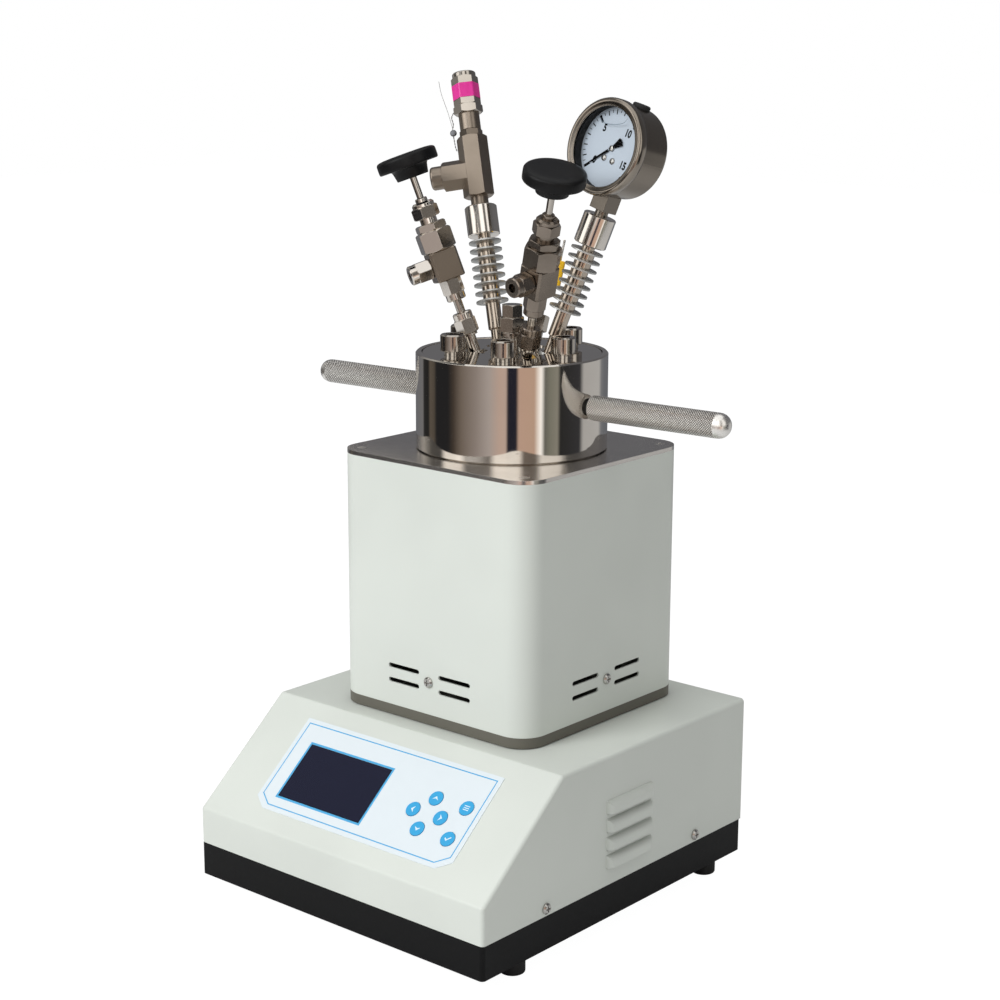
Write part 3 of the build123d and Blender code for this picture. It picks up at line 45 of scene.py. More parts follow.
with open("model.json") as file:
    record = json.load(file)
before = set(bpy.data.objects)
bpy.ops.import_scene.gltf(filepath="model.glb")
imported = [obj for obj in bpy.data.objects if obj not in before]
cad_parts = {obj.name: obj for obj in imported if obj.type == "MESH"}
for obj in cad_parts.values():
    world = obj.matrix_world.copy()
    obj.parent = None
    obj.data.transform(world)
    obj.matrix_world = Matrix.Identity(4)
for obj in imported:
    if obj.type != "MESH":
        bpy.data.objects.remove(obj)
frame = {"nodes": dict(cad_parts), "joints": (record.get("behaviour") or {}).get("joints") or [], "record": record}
SOLIDS = frame["nodes"]
JOINTS = {j["name"]: j for j in frame["joints"]}
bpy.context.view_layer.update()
MM = 0.001
VESSEL_Y = 40 * MM
VESSEL_TURN = 2.5


def rgb(red, green, blue):
    """A display colour from 0 to 255 as the linear colour that a shader takes."""
    return tuple(
        c / 12.92 if c <= 0.04045 else ((c + 0.055) / 1.055) ** 2.4
        for c in (v / 255 for v in (red, green, blue))
    )


# ---------------------------------------------------------------------------
# Shader nodes
# ---------------------------------------------------------------------------
class Value:
    """A node socket that takes plain arithmetic."""

    def __init__(self, finish, socket):
        self.finish, self.socket = finish, socket

    def _math(self, operation, *values):
        sockets = dict(enumerate(values))
        return self.finish.node("ShaderNodeMath", {"operation": operation}, sockets)

    def __add__(self, other):
        return self._math("ADD", self, other)

    def __radd__(self, other):
        return self._math("ADD", other, self)

    def __sub__(self, other):
        return self._math("SUBTRACT", self, other)

    def __mul__(self, other):
        return self._math("MULTIPLY", self, other)

    def __rmul__(self, other):
        return self._math("MULTIPLY", other, self)

    def __truediv__(self, other):
        return self._math("DIVIDE", self, other)

    def __pow__(self, other):
        return self._math("POWER", self, other)

    def least(self, other):
        """The smaller of two values."""
        return self._math("MINIMUM", self, other)

    def sin(self):
        return self._math("SINE", self)

    def abs(self):
        return self._math("ABSOLUTE", self)

    def atan2(self, other):
        return self._math("ARCTAN2", self, other)

    def smooth(self, low, high, start=0.0, end=1.0):
        """Eases from start to end as the value goes from low to high."""
        sockets = {0: self, 1: low, 2: high, 3: start, 4: end}
        settings = {"interpolation_type": "SMOOTHSTEP"}
        return self.finish.node("ShaderNodeMapRange", settings, sockets)


class Finish:
    """One node material, or the world's nodes."""

    def __init__(self, name, owner=None):
        self.owner = owner or bpy.data.materials.new(name)
        self.owner.use_nodes = True
        self.tree = self.owner.node_tree
        self.tree.nodes.clear()

    def node(self, kind, settings=None, sockets=None, out=0):
        """Adds a node with its settings first and then its sockets, and gives one of its outputs."""
        made = self.tree.nodes.new(kind)
        for key, value in (settings or {}).items():
            if key == "stops":
                ramp = made.color_ramp
                while len(ramp.elements) < len(value):
                    ramp.elements.new(0.5)
                for element, (place, colour) in zip(ramp.elements, value):
                    element.position, element.color = place, (*colour, 1.0)
            elif key == "ramp":
                made.color_ramp.interpolation = value
            else:
                setattr(made, key, value)
        for key, value in (sockets or {}).items():
            socket = made.inputs[key]
            if isinstance(value, Value):
                self.tree.links.new(value.socket, socket)
            elif isinstance(value, tuple) and len(value) == 3 and socket.type == "RGBA":
                socket.default_value = (*value, 1.0)
            else:
                socket.default_value = value
        return Value(self, made.outputs[out])

    def place(self, offset=(0, 0, 0), turn=(0, 0, 0), scale=(1, 1, 1)):
        """Object coordinates, moved, turned and stretched."""
        coordinates = self.node("ShaderNodeTexCoord", out="Object")
        sockets = {"Vector": coordinates, "Location": offset, "Rotation": turn, "Scale": scale}
        return self.node("ShaderNodeMapping", {"vector_type": "POINT"}, sockets)

    def within(self, matrix):
        """The X, Y and Z of a piece's own frame, given by its matrix."""
        back = matrix.inverted()
        turn = back.to_euler("XYZ")
        vector = self.place(tuple(back.to_translation()), tuple(turn))
        split = self.node("ShaderNodeSeparateXYZ", None, {0: vector})
        outputs = split.socket.node.outputs
        return [Value(self, outputs[i]) for i in range(3)]

    def noise(self, vector, scale, detail=3.0, rough=0.5):
        """Cloudy values about 0.5; a higher scale makes finer clouds."""
        sockets = {"Vector": vector, "Scale": scale, "Detail": detail, "Roughness": rough}
        return self.node("ShaderNodeTexNoise", None, sockets, out="Fac")

    def mix(self, factor, first, second):
        """A colour that goes from first to second."""
        sockets = {0: factor, 6: first, 7: second}
        for key in (6, 7):
            if isinstance(sockets[key], tuple):
                sockets[key] = (*sockets[key], 1.0)
        return self.node("ShaderNodeMix", {"data_type": "RGBA"}, sockets, out=2)

    def bump(self, height, distance, strength=1.0, normal=None):
        """A normal that follows a height from 0 to 1 over a depth in metres."""
        sockets = {"Height": height, "Distance": distance, "Strength": strength}
        if normal is not None:
            sockets["Normal"] = normal
        return self.node("ShaderNodeBump", None, sockets)

    def soft_edges(self, radius):
        """A normal that rounds every edge off."""
        return self.node("ShaderNodeBevel", {"samples": 6}, {"Radius": radius})

    def surface(self, **sockets):
        """Closes the material with one principled shader."""
        named = {key.replace("_", " "): value for key, value in sockets.items()}
        self.node_out(self.node("ShaderNodeBsdfPrincipled", None, named))
        return self.owner

    def node_out(self, shader):
        """Joins a shader to the output of the material or the world."""
        kind = "World" if isinstance(self.owner, bpy.types.World) else "Material"
        made = self.tree.nodes.new("ShaderNodeOutput" + kind)
        self.tree.links.new(shader.socket, made.inputs["Surface"])


def powder_coat(name, colour, rough=0.36, grain=0.02 * MM, spread=0.03, ior=1.48):
    """Sprayed and baked coat with a faint orange peel."""
    finish = Finish(name)
    spot = finish.place()
    cloud = finish.noise(spot, 9.0, 2.0)
    peel = finish.noise(spot, 1100.0, 2.0)
    darker = tuple(c * (1 - spread) for c in colour)
    lighter = tuple(min(1.0, c * (1 + spread)) for c in colour)
    speck = finish.noise(spot, 420.0, 1.0)
    shade = finish.mix(cloud.smooth(0.3, 0.7), darker, lighter)
    return finish.surface(
        Base_Color=shade,
        Roughness=rough + 0.10 * (speck - 0.5) + 0.06 * (cloud - 0.5),
        IOR=ior,
        Normal=finish.bump(peel, grain, 0.6, finish.soft_edges(0.5 * MM)),
    )


def moulded(name, colour, rough=0.45, grain=0.04 * MM, pitch=1600.0, edge=0.3):
    """Moulded plastic with a spark-eroded grain."""
    finish = Finish(name)
    spot = finish.place()
    grains = finish.noise(spot, pitch, 2.0, 0.6)
    cloud = finish.noise(spot, 60.0, 2.0)
    shade = finish.mix(cloud, tuple(c * 0.85 for c in colour), tuple(min(1, c * 1.15) for c in colour))
    return finish.surface(
        Base_Color=shade,
        Roughness=rough + 0.12 * (grains - 0.5),
        Normal=finish.bump(grains, grain, 0.7, finish.soft_edges(edge * MM)),
    )


def steel(name, colour, rough=0.16, lines=0.0, axis=None, edge=0.25, stain=0.0, wavy=0.0):
    """Stainless steel with fine marks and stains, and drawn lines where lines is above 0."""
    finish = Finish(name)
    spot = finish.place()
    cloud = finish.noise(spot, 45.0, 3.0)
    marks = finish.noise(spot, 900.0, 2.0, 0.7)
    darker = tuple(c * (1 - stain) for c in colour)
    shade = finish.mix(cloud.smooth(0.35, 0.75), colour, darker)
    height = marks * 0.35
    if lines:
        along = finish.noise(finish.place(scale=axis), lines, 2.0, 0.6)
        wave = finish.noise(finish.place(scale=axis), lines * 0.16, 2.0, 0.5)
        height = height + along + wave * wavy
    return finish.surface(
        Base_Color=shade,
        Metallic=1.0,
        Roughness=rough * (0.8 + 0.25 * marks + 0.3 * cloud),
        Normal=finish.bump(height, 0.006 * MM, 0.5, finish.soft_edges(edge * MM)),
    )


def finned(name, axes):
    """Steel stems with bright turned cores and dull fins."""
    finish = Finish(name)
    places = [finish.within(axis) for axis in axes]
    first, second = [(x * x + y * y) ** 0.5 for x, y, z in places]
    dull = first.least(second).smooth(6.7 * MM, 7.0 * MM)
    marks = finish.noise(finish.place(), 700.0, 2.0)
    return finish.surface(
        Base_Color=finish.mix(dull, rgb(196, 184, 170), rgb(206, 207, 205)),
        Metallic=1.0,
        Roughness=0.12 + 0.30 * dull + 0.06 * marks,
        Normal=finish.soft_edges(0.2 * MM),
    )


def paired(name, bright, dull, rough=0.1, rougher=0.15):
    """Steel of the two valves, one make: painted light on the first, at the left where the key lamp falls, and
    painted shade, dull and brown, on the second.
    """
    finish = Finish(name)
    spot = finish.place()
    across = finish.within(Matrix.Identity(4))[0]
    # side runs from 0 at the left valve to 1 at the right; the colour change across it is painted light and shade.
    side = across.smooth(-3 * MM, 3 * MM)
    cloud = finish.noise(spot, 60.0, 3.0)
    marks = finish.noise(spot, 900.0, 2.0, 0.7)
    handled = tuple(c * 0.84 for c in dull)
    return finish.surface(
        Base_Color=finish.mix(side, bright, finish.mix(cloud.smooth(0.35, 0.7), dull, handled)),
        Metallic=1.0,
        Roughness=rough + rougher * side + 0.03 * marks,
        Normal=finish.bump(marks, 0.006 * MM, 0.5, finish.soft_edges(0.3 * MM)),
    )


def plain(name, colour, rough=0.5, spread=0.06, scale=80.0, **sockets):
    """A quiet surface with a little cloud in its colour and gloss."""
    finish = Finish(name)
    spot = finish.place()
    cloud = finish.noise(spot, scale, 3.0)
    darker = tuple(c * (1 - spread) for c in colour)
    lighter = tuple(min(1.0, c * (1 + spread)) for c in colour)
    shade = finish.mix(cloud, darker, lighter)
    return finish.surface(Base_Color=shade, Roughness=rough + 0.1 * (cloud - 0.5), **sockets)


def clear_pane(name):
    """Clear glass that shows what is behind it and a little of what is before it."""
    finish = Finish(name)
    edge = finish.node("ShaderNodeFresnel", None, {"IOR": 1.09})
    through = finish.node("ShaderNodeBsdfTransparent", None, {"Color": (0.985, 0.99, 0.99)})
    gloss = finish.node("ShaderNodeBsdfGlossy", None, {"Roughness": 0.0})
    finish.node_out(finish.node("ShaderNodeMixShader", None, {0: edge, 1: through, 2: gloss}))
    return finish.owner


# ---------------------------------------------------------------------------
# Mesh helpers
# ---------------------------------------------------------------------------
def frame_of(origin, z_axis, x_axis=None):
    """A matrix at origin whose Z and X follow the given directions."""
    z = Vector(z_axis).normalized()
    x = Vector(x_axis) if x_axis is not None else z.orthogonal()
    x = (x - z * x.dot(z)).normalized()
    y = z.cross(x)
    matrix = Matrix((x, y, z)).transposed().to_4x4()
    matrix.translation = Vector(origin)
    return matrix


def finish_piece(bm, name, material, body, replaced=(), smooth=True):
    """Puts a bmesh in the scene as a piece that rides on a body."""
    mesh = bpy.data.meshes.new(name)
    bm.to_mesh(mesh)
    bm.free()
    for face in mesh.polygons:
        face.use_smooth = smooth
    piece = bpy.data.objects.new(name, mesh)
    bpy.context.scene.collection.objects.link(piece)
    mesh.materials.append(material)
    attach(piece, body)
    if replaced:
        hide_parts(*replaced)
    return piece


def turned(bm, profile, matrix, steps=64):
    """Spins a profile of (radius, height) in mm about the matrix's Z axis."""
    ring = [bm.verts.new((r * MM, 0, h * MM)) for r, h in profile]
    edges = [bm.edges.new(pair) for pair in zip(ring, ring[1:])]
    bmesh.ops.spin(
        bm, geom=ring + edges, cent=(0, 0, 0), axis=(0, 0, 1), angle=math.tau, steps=steps, use_merge=True
    )
    bmesh.ops.remove_doubles(bm, verts=bm.verts[:], dist=0.002 * MM)
    placed(bm, matrix)


def join_turned(bm, profile, matrix, steps=64):
    """Adds a spun profile to a bmesh that already holds something."""
    part = bmesh.new()
    turned(part, profile, matrix, steps)
    mesh = bpy.data.meshes.new("part")
    part.to_mesh(mesh)
    part.free()
    bm.from_mesh(mesh)
    bpy.data.meshes.remove(mesh)


def tube(bm, path, radius, sides=8):
    """A round wire along a list of points in mm, closed at its ends."""
    rings, across = [], None
    for index, point in enumerate(path):
        before, after = path[max(index - 1, 0)], path[min(index + 1, len(path) - 1)]
        way = (after - before).normalized()
        across = way.orthogonal() if across is None else across - way * across.dot(way)
        across.normalize()
        aside = way.cross(across)
        ring = []
        for step in range(sides):
            angle = math.tau * step / sides
            spot = point + (across * math.cos(angle) + aside * math.sin(angle)) * radius
            ring.append(bm.verts.new(spot * MM))
        rings.append(ring)
    for first, second in zip(rings, rings[1:]):
        for step in range(sides):
            after = (step + 1) % sides
            bm.faces.new((first[step], first[after], second[after], second[step]))
    bm.faces.new(rings[0][::-1])
    bm.faces.new(rings[-1])


def eased(points, steps=8):
    """A smooth run of points through the given ones."""
    spots = [Vector(p) for p in points]
    ends = [spots[0] * 2 - spots[1], *spots, spots[-1] * 2 - spots[-2]]
    run = []
    for a, b, c, d in zip(ends, ends[1:], ends[2:], ends[3:]):
        for step in range(steps):
            t = step / steps
            run.append((b * 2 + (c - a) * t + (a * 2 - b * 5 + c * 4 - d) * t * t
                        + (b * 3 - a - c * 3 + d) * t ** 3) / 2)
    return run + [spots[-1]]


# ---------------------------------------------------------------------------
# Settings
# ---------------------------------------------------------------------------
class ReactorFinishes(bpy.types.PropertyGroup):
    """Colours of the casing, the vessel and the fittings."""

    casing: bpy.props.FloatVectorProperty(
        name="Casing", description="Colour of the coated cover and tower",
        subtype="COLOR", size=3, default=rgb(222, 226, 218), min=0, max=1,
    )
    tray: bpy.props.FloatVectorProperty(
        name="Tray", description="Colour of the coated tray", subtype="COLOR", size=3,
        default=rgb(10, 10, 11), min=0, max=1,
    )
    plate: bpy.props.FloatVectorProperty(
        name="Base Plate", description="Colour of the plate under the tower", subtype="COLOR", size=3,
        default=rgb(104, 101, 91), min=0, max=1,
    )
    polished: bpy.props.FloatVectorProperty(
        name="Polished Steel", description="Colour of the mirror-bright steel", subtype="COLOR", size=3,
        default=rgb(222, 216, 208), min=0, max=1,
    )
    turned: bpy.props.FloatVectorProperty(
        name="Turned Steel", description="Colour of the machined fittings", subtype="COLOR", size=3,
        default=rgb(196, 189, 180), min=0, max=1,
    )
    key: bpy.props.FloatVectorProperty(
        name="Keys", description="Colour of the keys", subtype="COLOR", size=3,
        default=rgb(62, 172, 226), min=0, max=1,
    )


class ReactorStage(bpy.types.PropertyGroup):
    """Camera, lamps and backdrop."""

    lens: bpy.props.FloatProperty(
        name="Lens", description="Focal length of the camera", default=74.28, unit="CAMERA", min=10, max=300
    )
    world: bpy.props.FloatProperty(
        name="World", description="Level of the even light from all round", default=0.41, min=0, max=3
    )
    key_power: bpy.props.FloatProperty(
        name="Key Lamp", description="Power of the large front lamp in watts", default=31.0, min=0, max=500
    )
    fill_power: bpy.props.FloatProperty(
        name="Top Lamp", description="Power of the lamp overhead in watts", default=7.0, min=0, max=500
    )
    tent_radius: bpy.props.FloatProperty(
        name="Tent", description="Radius of the reflector round the vessel",
        default=1.1, unit="LENGTH", min=0.5, max=5,
    )


# ---------------------------------------------------------------------------
# Stage
# ---------------------------------------------------------------------------
# The stops of the reflector's two ramps: the place as a share of a turn, and the light there.
REFLECTOR_BANDS = (
    (0.0, (0.17, 0.18, 0.20)), (0.06, (0.14, 0.145, 0.16)), (0.17, (0.15, 0.155, 0.17)),
    (0.25, (0.20, 0.20, 0.21)), (0.262, (0.03, 0.03, 0.03)), (0.292, (0.022, 0.022, 0.022)),
    (0.304, (0.13, 0.11, 0.09)), (0.326, (0.10, 0.085, 0.07)), (0.338, (0.022, 0.022, 0.024)),
    (0.392, (0.022, 0.022, 0.024)), (0.415, (0.07, 0.055, 0.045)), (0.445, (0.20, 0.165, 0.14)),
    (0.497, (0.33, 0.285, 0.265)), (0.540, (0.48, 0.43, 0.41)), (0.575, (0.62, 0.47, 0.40)),
    (0.593, (0.62, 0.48, 0.42)), (0.599, (0.022, 0.022, 0.035)), (0.627, (0.022, 0.022, 0.035)),
    (0.634, (0.62, 0.43, 0.34)), (0.684, (0.60, 0.42, 0.32)), (0.705, (1.30, 1.28, 1.25)),
    (0.718, (0.16, 0.16, 0.14)), (0.735, (0.24, 0.24, 0.20)), (0.762, (0.30, 0.29, 0.25)),
    (0.772, (0.03, 0.03, 0.03)), (0.850, (0.045, 0.045, 0.05)), (0.868, (0.50, 0.50, 0.50)),
    (0.955, (0.52, 0.52, 0.52)), (0.975, (0.22, 0.23, 0.25)), (1.0, (0.17, 0.18, 0.20)),
)
UPPER_BANDS = (
    (0.0, (0.14, 0.14, 0.15)), (0.20, (0.14, 0.14, 0.15)), (0.26, (0.50, 0.49, 0.47)),
    (0.31, (0.10, 0.10, 0.10)), (0.36, (0.08, 0.08, 0.08)), (0.38, (1.35, 1.32, 1.28)),
    (0.44, (1.25, 1.22, 1.18)), (0.46, (0.12, 0.115, 0.11)), (0.54, (0.16, 0.15, 0.14)),
    (0.56, (1.35, 1.32, 1.28)), (0.635, (1.35, 1.32, 1.28)), (0.65, (0.14, 0.13, 0.12)),
    (0.69, (0.14, 0.13, 0.12)), (0.71, (1.15, 1.13, 1.10)), (0.77, (1.05, 1.03, 1.0)),
    (0.80, (0.10, 0.10, 0.10)), (0.90, (0.14, 0.14, 0.15)), (1.0, (0.14, 0.14, 0.15)),
)
TENT_MIDDLE, TENT_HEIGHT = 1.0, 2.4
BANDS_CHANGE = (0.42, 0.50)
LAMP_TINT = (0.965, 0.982, 1.0)
CAMERA_PLACE = (0.956615, -1.092611, 0.629067)
CAMERA_AZIMUTH, CAMERA_ELEVATION, CAMERA_ROLL = 40.5056, 13.1145, 0.2108


def white_seen(finish, level, colour=(1.0, 1.0, 1.0)):
    """An emission that stands in for a white backdrop."""
    return finish.node("ShaderNodeEmission", None, {"Color": colour, "Strength": level})


class REACTOR_OT_stage(bpy.types.Operator):
    """Make the floor, the reflector, the lamps, the world and the camera."""

    bl_idname = "reactor.stage"
    bl_label = "Stage"

    def execute(self, context):
        settings = context.scene.reactor_stage
        bm = bmesh.new()
        bmesh.ops.create_grid(bm, x_segments=1, y_segments=1, size=6.0)
        mesh = bpy.data.meshes.new("floor")
        bm.to_mesh(mesh)
        bm.free()
        floor = bpy.data.objects.new("floor", mesh)
        context.scene.collection.objects.link(floor)
        finish = Finish("floor_paper")
        seen = finish.node("ShaderNodeLightPath", out="Is Camera Ray")
        paper = finish.node("ShaderNodeBsdfDiffuse", None, {"Color": (0.80, 0.80, 0.80)})
        glow = white_seen(finish, 1.12)
        both = finish.node("ShaderNodeMixShader", None, {0: seen * 0.88, 1: paper, 2: glow})
        finish.node_out(both)
        mesh.materials.append(finish.owner)

        bm = bmesh.new()
        bmesh.ops.create_cone(
            bm, cap_ends=False, segments=96, radius1=settings.tent_radius,
            radius2=settings.tent_radius, depth=TENT_HEIGHT,
            matrix=Matrix.Translation((0, VESSEL_Y, TENT_MIDDLE)),
        )
        mesh = bpy.data.meshes.new("reflector")
        bm.to_mesh(mesh)
        bm.free()
        tent = bpy.data.objects.new("reflector", mesh)
        context.scene.collection.objects.link(tent)
        finish = Finish("reflector_cloth")
        x, y, z = finish.within(Matrix.Translation((0, VESSEL_Y, 0)))
        turn = x.atan2(-1.0 * y) / math.tau + 0.5
        low, high = [
            finish.node("ShaderNodeValToRGB", {"ramp": "LINEAR", "stops": bands}, {0: turn})
            for bands in (REFLECTOR_BANDS, UPPER_BANDS)
        ]
        cloth = finish.mix(z.smooth(*BANDS_CHANGE), low, high)
        finish.node_out(finish.node("ShaderNodeEmission", None, {"Color": cloth, "Strength": 1.0}))
        finish.owner.cycles.emission_sampling = "NONE"
        mesh.materials.append(finish.owner)
        for ray in ("camera", "diffuse", "shadow", "transmission", "volume_scatter"):
            setattr(tent, "visible_" + ray, False)

        world = bpy.data.worlds.new("studio")
        context.scene.world = world
        finish = Finish("studio", world)
        path = finish.node("ShaderNodeLightPath", out="Is Camera Ray")
        glossy = finish.node("ShaderNodeLightPath", out="Is Glossy Ray")
        through = finish.node("ShaderNodeLightPath", out="Is Transmission Ray")
        level = (path + glossy + through).smooth(0.0, 1.0, settings.world, 1.0)
        sky = finish.node("ShaderNodeBackground", None, {"Color": (1.0, 1.0, 1.0), "Strength": level})
        finish.node_out(sky)

        self.lamp(
            context, "key_lamp", (-0.35, -1.9, 1.5), (0.0, 0.0, 0.25), 1.3, settings.key_power, glossy=True
        )
        self.lamp(context, "top_lamp", (0.1, 0.2, 1.9), (0.0, 0.04, 0.3), 1.2, settings.fill_power)

        camera = bpy.data.cameras.new("camera")
        camera.sensor_width, camera.lens = 36.0, settings.lens
        camera.clip_start, camera.clip_end = 0.05, 50.0
        holder = bpy.data.objects.new("camera", camera)
        context.scene.collection.objects.link(holder)
        azimuth, elevation, roll = map(math.radians, (CAMERA_AZIMUTH, CAMERA_ELEVATION, CAMERA_ROLL))
        level = Vector((math.sin(azimuth), -math.cos(azimuth), 0))
        back = level * math.cos(elevation) + Vector((0, 0, math.sin(elevation)))
        right = Vector((math.cos(azimuth), math.sin(azimuth), 0))
        up = back.cross(right)
        across = right * math.cos(roll) + up * math.sin(roll)
        upward = up * math.cos(roll) - right * math.sin(roll)
        matrix = Matrix((across, upward, back)).transposed().to_4x4()
        matrix.translation = Vector(CAMERA_PLACE)
        holder.matrix_world = matrix
        context.scene.camera = holder
        context.scene.view_settings.view_transform = "Standard"
        return {"FINISHED"}

    def lamp(self, context, name, place, aim, size, power, glossy=False):
        """Hangs a round lamp at a place and aims it."""
        light = bpy.data.lights.new(name, "AREA")
        light.shape, light.size, light.energy = "DISK", size, power
        light.color = LAMP_TINT
        holder = bpy.data.objects.new(name, light)
        context.scene.collection.objects.link(holder)
        holder.location = place
        way = Vector(aim) - Vector(place)
        holder.rotation_mode = "QUATERNION"
        holder.rotation_quaternion = way.to_track_quat("-Z", "Y")
        holder.visible_glossy = glossy


# ---------------------------------------------------------------------------
# Finishes of the solids
# ---------------------------------------------------------------------------
class REACTOR_OT_finishes(bpy.types.Operator):
    """Give every solid of the reactor its finish."""

    bl_idname = "reactor.finishes"
    bl_label = "Finishes"

    def execute(self, context):
        colours = context.scene.reactor_finishes
        casing, tray, plate = (tuple(c) for c in (colours.casing, colours.tray, colours.plate))
        bright, lathe = tuple(colours.polished), tuple(colours.turned)
        made = {
            "white_coat": powder_coat("white_coat", casing, 0.34),
            "black_coat": powder_coat("black_coat", tray, 0.46, 0.05 * MM, 0.1, 1.26),
            "plate_grey": powder_coat("plate_grey", plate, 0.45),
            "rubber": moulded("rubber", rgb(24, 24, 25), 0.7),
            "steel_screw": steel("screw_steel", rgb(190, 188, 184), 0.2),
            "film": plain("film", rgb(232, 240, 244), 0.22, 0.01),
            "screen": plain("screen", rgb(30, 32, 52), 0.08, 0.03, Coat_Weight=1.0),
            "board": plain("board", rgb(20, 96, 52), 0.4),
            "key": plain("key", tuple(colours.key), 0.3, 0.03),
            "motor": powder_coat("motor", rgb(52, 52, 55), 0.4),
            "magnet": steel("rotor", rgb(205, 205, 207), 0.3),
            "black_plastic": moulded("black_plastic", rgb(26, 26, 27), 0.42),
            "polished": steel("polished", bright, 0.055, 260.0, (1.0, 1.0, 0.05), 0.4, 0.03, 14.0),
            "steel": steel("turned", lathe, 0.13, edge=0.3, stain=0.12),
            "fibre": plain("fibre", rgb(238, 232, 220), 0.95, 0.08, 300.0),
            "jacket": steel("jacket", rgb(200, 200, 200), 0.4, stain=0.2),
            "seal": plain("seal", rgb(205, 200, 188), 0.5),
            "ptfe": plain("ptfe", rgb(243, 243, 240), 0.45, 0.02),
            "dial": plain("dial", rgb(202, 211, 222), 0.35, 0.015),
            "yellow": moulded("yellow", rgb(240, 188, 34), 0.38, 0.03 * MM, 1400.0, 0.4),
            "black_paint": plain("black_paint", rgb(14, 14, 15), 0.45),
            "window": clear_pane("window"),
        }
        # The valve bodies and the valve nuts are painted lighter at the left valve and darker at the right:
        # painted light and shade.
        forged = paired("forged", rgb(164, 152, 138), rgb(138, 127, 116), 0.24, 0.02)
        cast = steel("cast", rgb(156, 144, 131), 0.29, edge=0.3, stain=0.15)
        fins = finned("fins", (port_frame(150.0, 212.0), port_frame(30.0, 300.0)))
        satin = steel("satin", rgb(142, 134, 124), 0.21, edge=0.6, stain=0.1)
        brushed = steel("brushed", rgb(226, 221, 215), 0.20, 420.0, (1.0, 0.04, 0.04), 0.3, 0.06)
        facets = steel("facets", rgb(236, 230, 222), 0.11, edge=0.3, stain=0.06)
        nuts = paired("valve_nuts", rgb(228, 221, 212), rgb(148, 137, 126))
        special = {
            "valve_bonnets": nuts, "packing_nuts": nuts, "tube_nuts": nuts, "union_nuts": nuts,
            "valve_bodies": forged, "relief_body": cast, "cooling_stems": fins, "gauge_case": satin,
            "gauge_bezel": satin, "tower_top_plate": brushed, "stem_couplings": facets,
            "top_plate_screws": steel("plate_screws", rgb(232, 228, 222), 0.3),
        }
        slots = {s["node"]: s["material_slot"] for s in frame["record"]["subparts"]}
        for name, solid in SOLIDS.items():
            solid.data.materials.clear()
            solid.data.materials.append(special.get(name, made[slots[name]]))
        return {"FINISHED"}


def outline(bm, points, level):
    """A flat face through points of a plane, at a level above it, all in mm."""
    return bm.faces.new([bm.verts.new((x * MM, y * MM, level * MM)) for x, y in points])


def line_round(bm, points, width, level, height):
    """A raised printed line that follows a closed outline on its inner side."""
    face = outline(bm, points, level)
    face.normal_update()
    made = bmesh.ops.inset_region(
        bm, faces=[face], thickness=width * MM, use_even_offset=True, use_boundary=True
    )
    bmesh.ops.delete(bm, geom=[face], context="FACES_ONLY")
    raise_faces(bm, made["faces"], height)


def raise_faces(bm, faces, height):
    """Lifts flat faces into thin plates."""
    made = bmesh.ops.extrude_face_region(bm, geom=faces, use_keep_orig=True)
    verts = [v for v in made["geom"] if isinstance(v, bmesh.types.BMVert)]
    bmesh.ops.translate(bm, vec=(0, 0, height * MM), verts=verts)


def plates(shapes, level, height):
    """A bmesh of thin plates, one for each outline."""
    bm = bmesh.new()
    raise_faces(bm, [outline(bm, shape, level) for shape in shapes], height)
    return bm


def placed(bm, matrix):
    """Faces a bmesh outwards and moves it to where a matrix says."""
    bmesh.ops.recalc_face_normals(bm, faces=bm.faces[:])
    bmesh.ops.transform(bm, matrix=matrix, verts=bm.verts[:])
    return bm


def level_of(name, matrix):
    """How far a solid reaches up the Z axis of a matrix, in mm."""
    back = matrix.inverted()
    return max((back @ v.co).z for v in SOLIDS[name].data.vertices) / MM


PRINT_LIFT, PRINT_HEIGHT = 0.01, 0.03
PANEL = frame_of((0, -0.1495, 0.0634), (0, -0.64164, 0.767), (1, 0, 0))
# In mm on the panel: the screen's middle, width and height; the film's width, start, length and cut corners.
SCREEN = (-36.9, 51.1, 80.4, 45.4)
FILM = (190.5, 15.6, 77.9, 11.5, 8.0)
KEY_SPOTS = {
    "key_up": (52.5, 63.8), "key_down": (52.5, 38.4), "key_left": (39.8, 51.1),
    "key_right": (65.2, 51.1), "key_set": (80.6, 63.8), "key_ok": (80.6, 38.4),
}
ARROW = [(-2.6, -1.2), (0.0, 1.7), (2.6, -1.2), (0.0, -0.25)]


class REACTOR_OT_film_print(bpy.types.Operator):
    """Print the border and the screen's surround on the front film."""

    bl_idname = "reactor.film_print"
    bl_label = "Film Print"

    def execute(self, context):
        width, start, length, cut_x, cut_y = FILM
        inset, head_inset = 3.6, 3.4
        low, high = start + inset, start + length - head_inset
        side = width / 2 - inset
        border = [
            (-side + cut_x - 1, low), (side - cut_x + 1, low), (side, low + cut_y - 0.7),
            (side, high), (-side, high), (-side, low + cut_y - 0.7),
        ]
        top = level_of("control_overlay", PANEL)
        bm = bmesh.new()
        line_round(bm, border, 0.85, top + PRINT_LIFT, PRINT_HEIGHT)
        x, y, wide, tall = SCREEN
        grown, gap = 1.9, 0.3
        right, up = wide / 2 + grown, tall / 2 + grown
        ring = [(x - right, y - up), (x + right, y - up), (x + right, y + up), (x - right, y + up)]
        line_round(bm, ring, grown - gap, top + PRINT_LIFT, PRINT_HEIGHT)
        ink = plain("film_ink", rgb(88, 178, 228), 0.25, 0.03)
        finish_piece(placed(bm, PANEL), "film_print", ink, "reactor", smooth=False)
        return {"FINISHED"}


